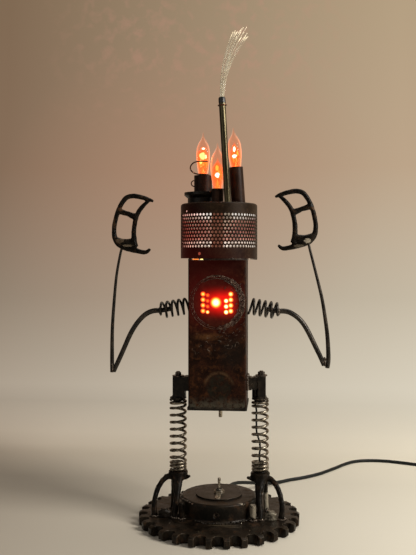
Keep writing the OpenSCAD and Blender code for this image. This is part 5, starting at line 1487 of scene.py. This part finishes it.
class LAMP_OT_antenna(bpy.types.Operator):
    """Finishes the antenna and grows its plume of glass fibres"""
    bl_idname = "lamp.antenna"
    bl_label = "Antenna"

    def execute(self, context):
        sizes = context.scene.lamp_sizes
        wear(brass="antenna_tube", black_plastic="antenna_ferrule", copper_wire="antenna_collar",
             pale_plastic="fibre_lamp")
        plume = GROW["plume"].grow("glass_plume", None, MAT["glass_fibre"], Fibres=sizes.fibres,
                                   Fibre=sizes.fibre, Reach=0.1245, Bundle=0.0031)
        place(plume, shift(*ANTENNA, SEAT) @ spin(-ANTENNA_LEAN, "Y") @ shift(0, 0, ANTENNA_LEN - 2))
        dress(plume, "torso", "glass_fibre", "fibre_plume")
        return {"FINISHED"}


class LAMP_OT_arms(bpy.types.Operator):
    """Bends the arms, casts the hands and winds the shoulder springs"""
    bl_idname = "lamp.arms"
    bl_label = "Arms"

    def execute(self, context):
        x0, z0, slope = SHOULDER
        start = ARM_WIRE + SPRING_R * math.sin(math.radians(slope)) + 0.3
        for (side, name), upper, fore, at in zip(SIDES, (LEFT_UPPER, RIGHT_UPPER),
                                                 (LEFT_FOREARM, RIGHT_FOREARM),
                                                 (LEFT_HAND_AT, RIGHT_HAND_AT)):
            body = name + "_arm"
            for rod, route, node in (("_upper_rod", upper, "_upper_arm"), ("_fore_rod", fore, "_forearm")):
                mesh = self.bar(name + rod, [(side * x, 0, z, r) for x, z, r in route], 6, 16)
                dress(show(name + rod, mesh, MAT["dark_spring"]), body, "dark_spring", name + node)
            coil = spring(name + "_shoulder_wire", SPRING_R, ARM_WIRE, 47, 5, MAT["dark_spring"],
                          end_radius=6.2, Drawn_Turns=0.5)
            place(coil, shift(x0, 0, z0) @ spin(90 + slope, "Y") @ shift(0, 0, start))
            if side < 0:
                place(coil, Matrix.Scale(-1, 4, (1, 0, 0)))
                coil.data.flip_normals()
            stretch(coil, [name + "_shoulder_spring", "shoulder_spring_roots"])
            bars = [self.bar("bar", [(at[0] + side * x, 0, at[1] + z, r) for x, z, r in route], 5, 14)
                    for route in (HAND_RIM, HAND_INNER, HAND_BAR, HAND_WEB)]
            hand = join(name + "_hand_cast", bars)
            cast(hand, MAT["cast_parts"], 0.0009, context.scene.lamp_sizes.roughness, 5, side * 1.7)
            dress(hand, body, "oily_cast_iron", name + "_hand")
            self.joins(name, side, upper, fore, body)
        return {"FINISHED"}

    def bar(self, name, route, steps, sides):
        """A bar along (x, y, z, radius) in millimetres."""
        run = smooth(route, steps) * MM
        return tube_mesh(name, run[:, :3], run[:, 3], sides)

    def joins(self, name, side, upper, fore, body):
        """Lumps of weld at the elbow, the wrist and the shoulder."""
        ex, ez, _ = upper[-1]
        wx, wz, _ = fore[-1]
        x = side * (ex + 1.5)
        runs = [straight((side * (ex - 1.5), -3, ez + 5), (side * (ex - 1.5), 3, ez + 5), 7),
                straight((x, -3.4, ez), (x, -3.4, ez + 11), 9), straight((x, 3.4, ez), (x, 3.4, ez + 11), 9),
                arc((side * wx, 0, wz - 1.5), 2.6, 12), arc((side * 95.5, 0, 336.1), 4.6, 18, "x")]
        welds(name + "_arm_welds", runs, body, scatter=0.6, seed=31 + side)


PIECES = (LAMP_OT_stage, LAMP_OT_mains_lead, LAMP_OT_base, LAMP_OT_feet, LAMP_OT_leg_springs, LAMP_OT_torso,
          LAMP_OT_chest_lamp, LAMP_OT_head, LAMP_OT_bulbs, LAMP_OT_antenna, LAMP_OT_arms)


class LAMP_PT_panel(bpy.types.Panel):
    """Lists the lamp's pieces, sizes and colours"""
    bl_idname = "LAMP_PT_panel"
    bl_label = "Robot lamp"
    bl_space_type = "VIEW_3D"
    bl_region_type = "UI"
    bl_category = "Robot lamp"

    def draw(self, context):
        for piece in PIECES:
            self.layout.operator(piece.bl_idname)
        for group in (context.scene.lamp_sizes, context.scene.lamp_colours):
            box = self.layout.box()
            for key in group.bl_rna.properties.keys():
                if key not in ("rna_type", "name"):
                    box.prop(group, key)


CLASSES = (LampColours, LampSizes, *PIECES, LAMP_PT_panel)


def register():
    for c in CLASSES:
        bpy.utils.register_class(c)
    bpy.types.Scene.lamp_colours = bpy.props.PointerProperty(type=LampColours)
    bpy.types.Scene.lamp_sizes = bpy.props.PointerProperty(type=LampSizes)


def unregister():
    del bpy.types.Scene.lamp_sizes
    del bpy.types.Scene.lamp_colours
    for c in reversed(CLASSES):
        bpy.utils.unregister_class(c)


def main():
    register()
    make_materials()
    GROW.update(coil=coil_growth(), bead=bead_growth(), holes=perforation_growth(), plume=plume_growth())
    for piece in PIECES:
        group, call = piece.bl_idname.split(".")
        getattr(getattr(bpy.ops, group), call)()


if __name__ == "__main__":
    main()
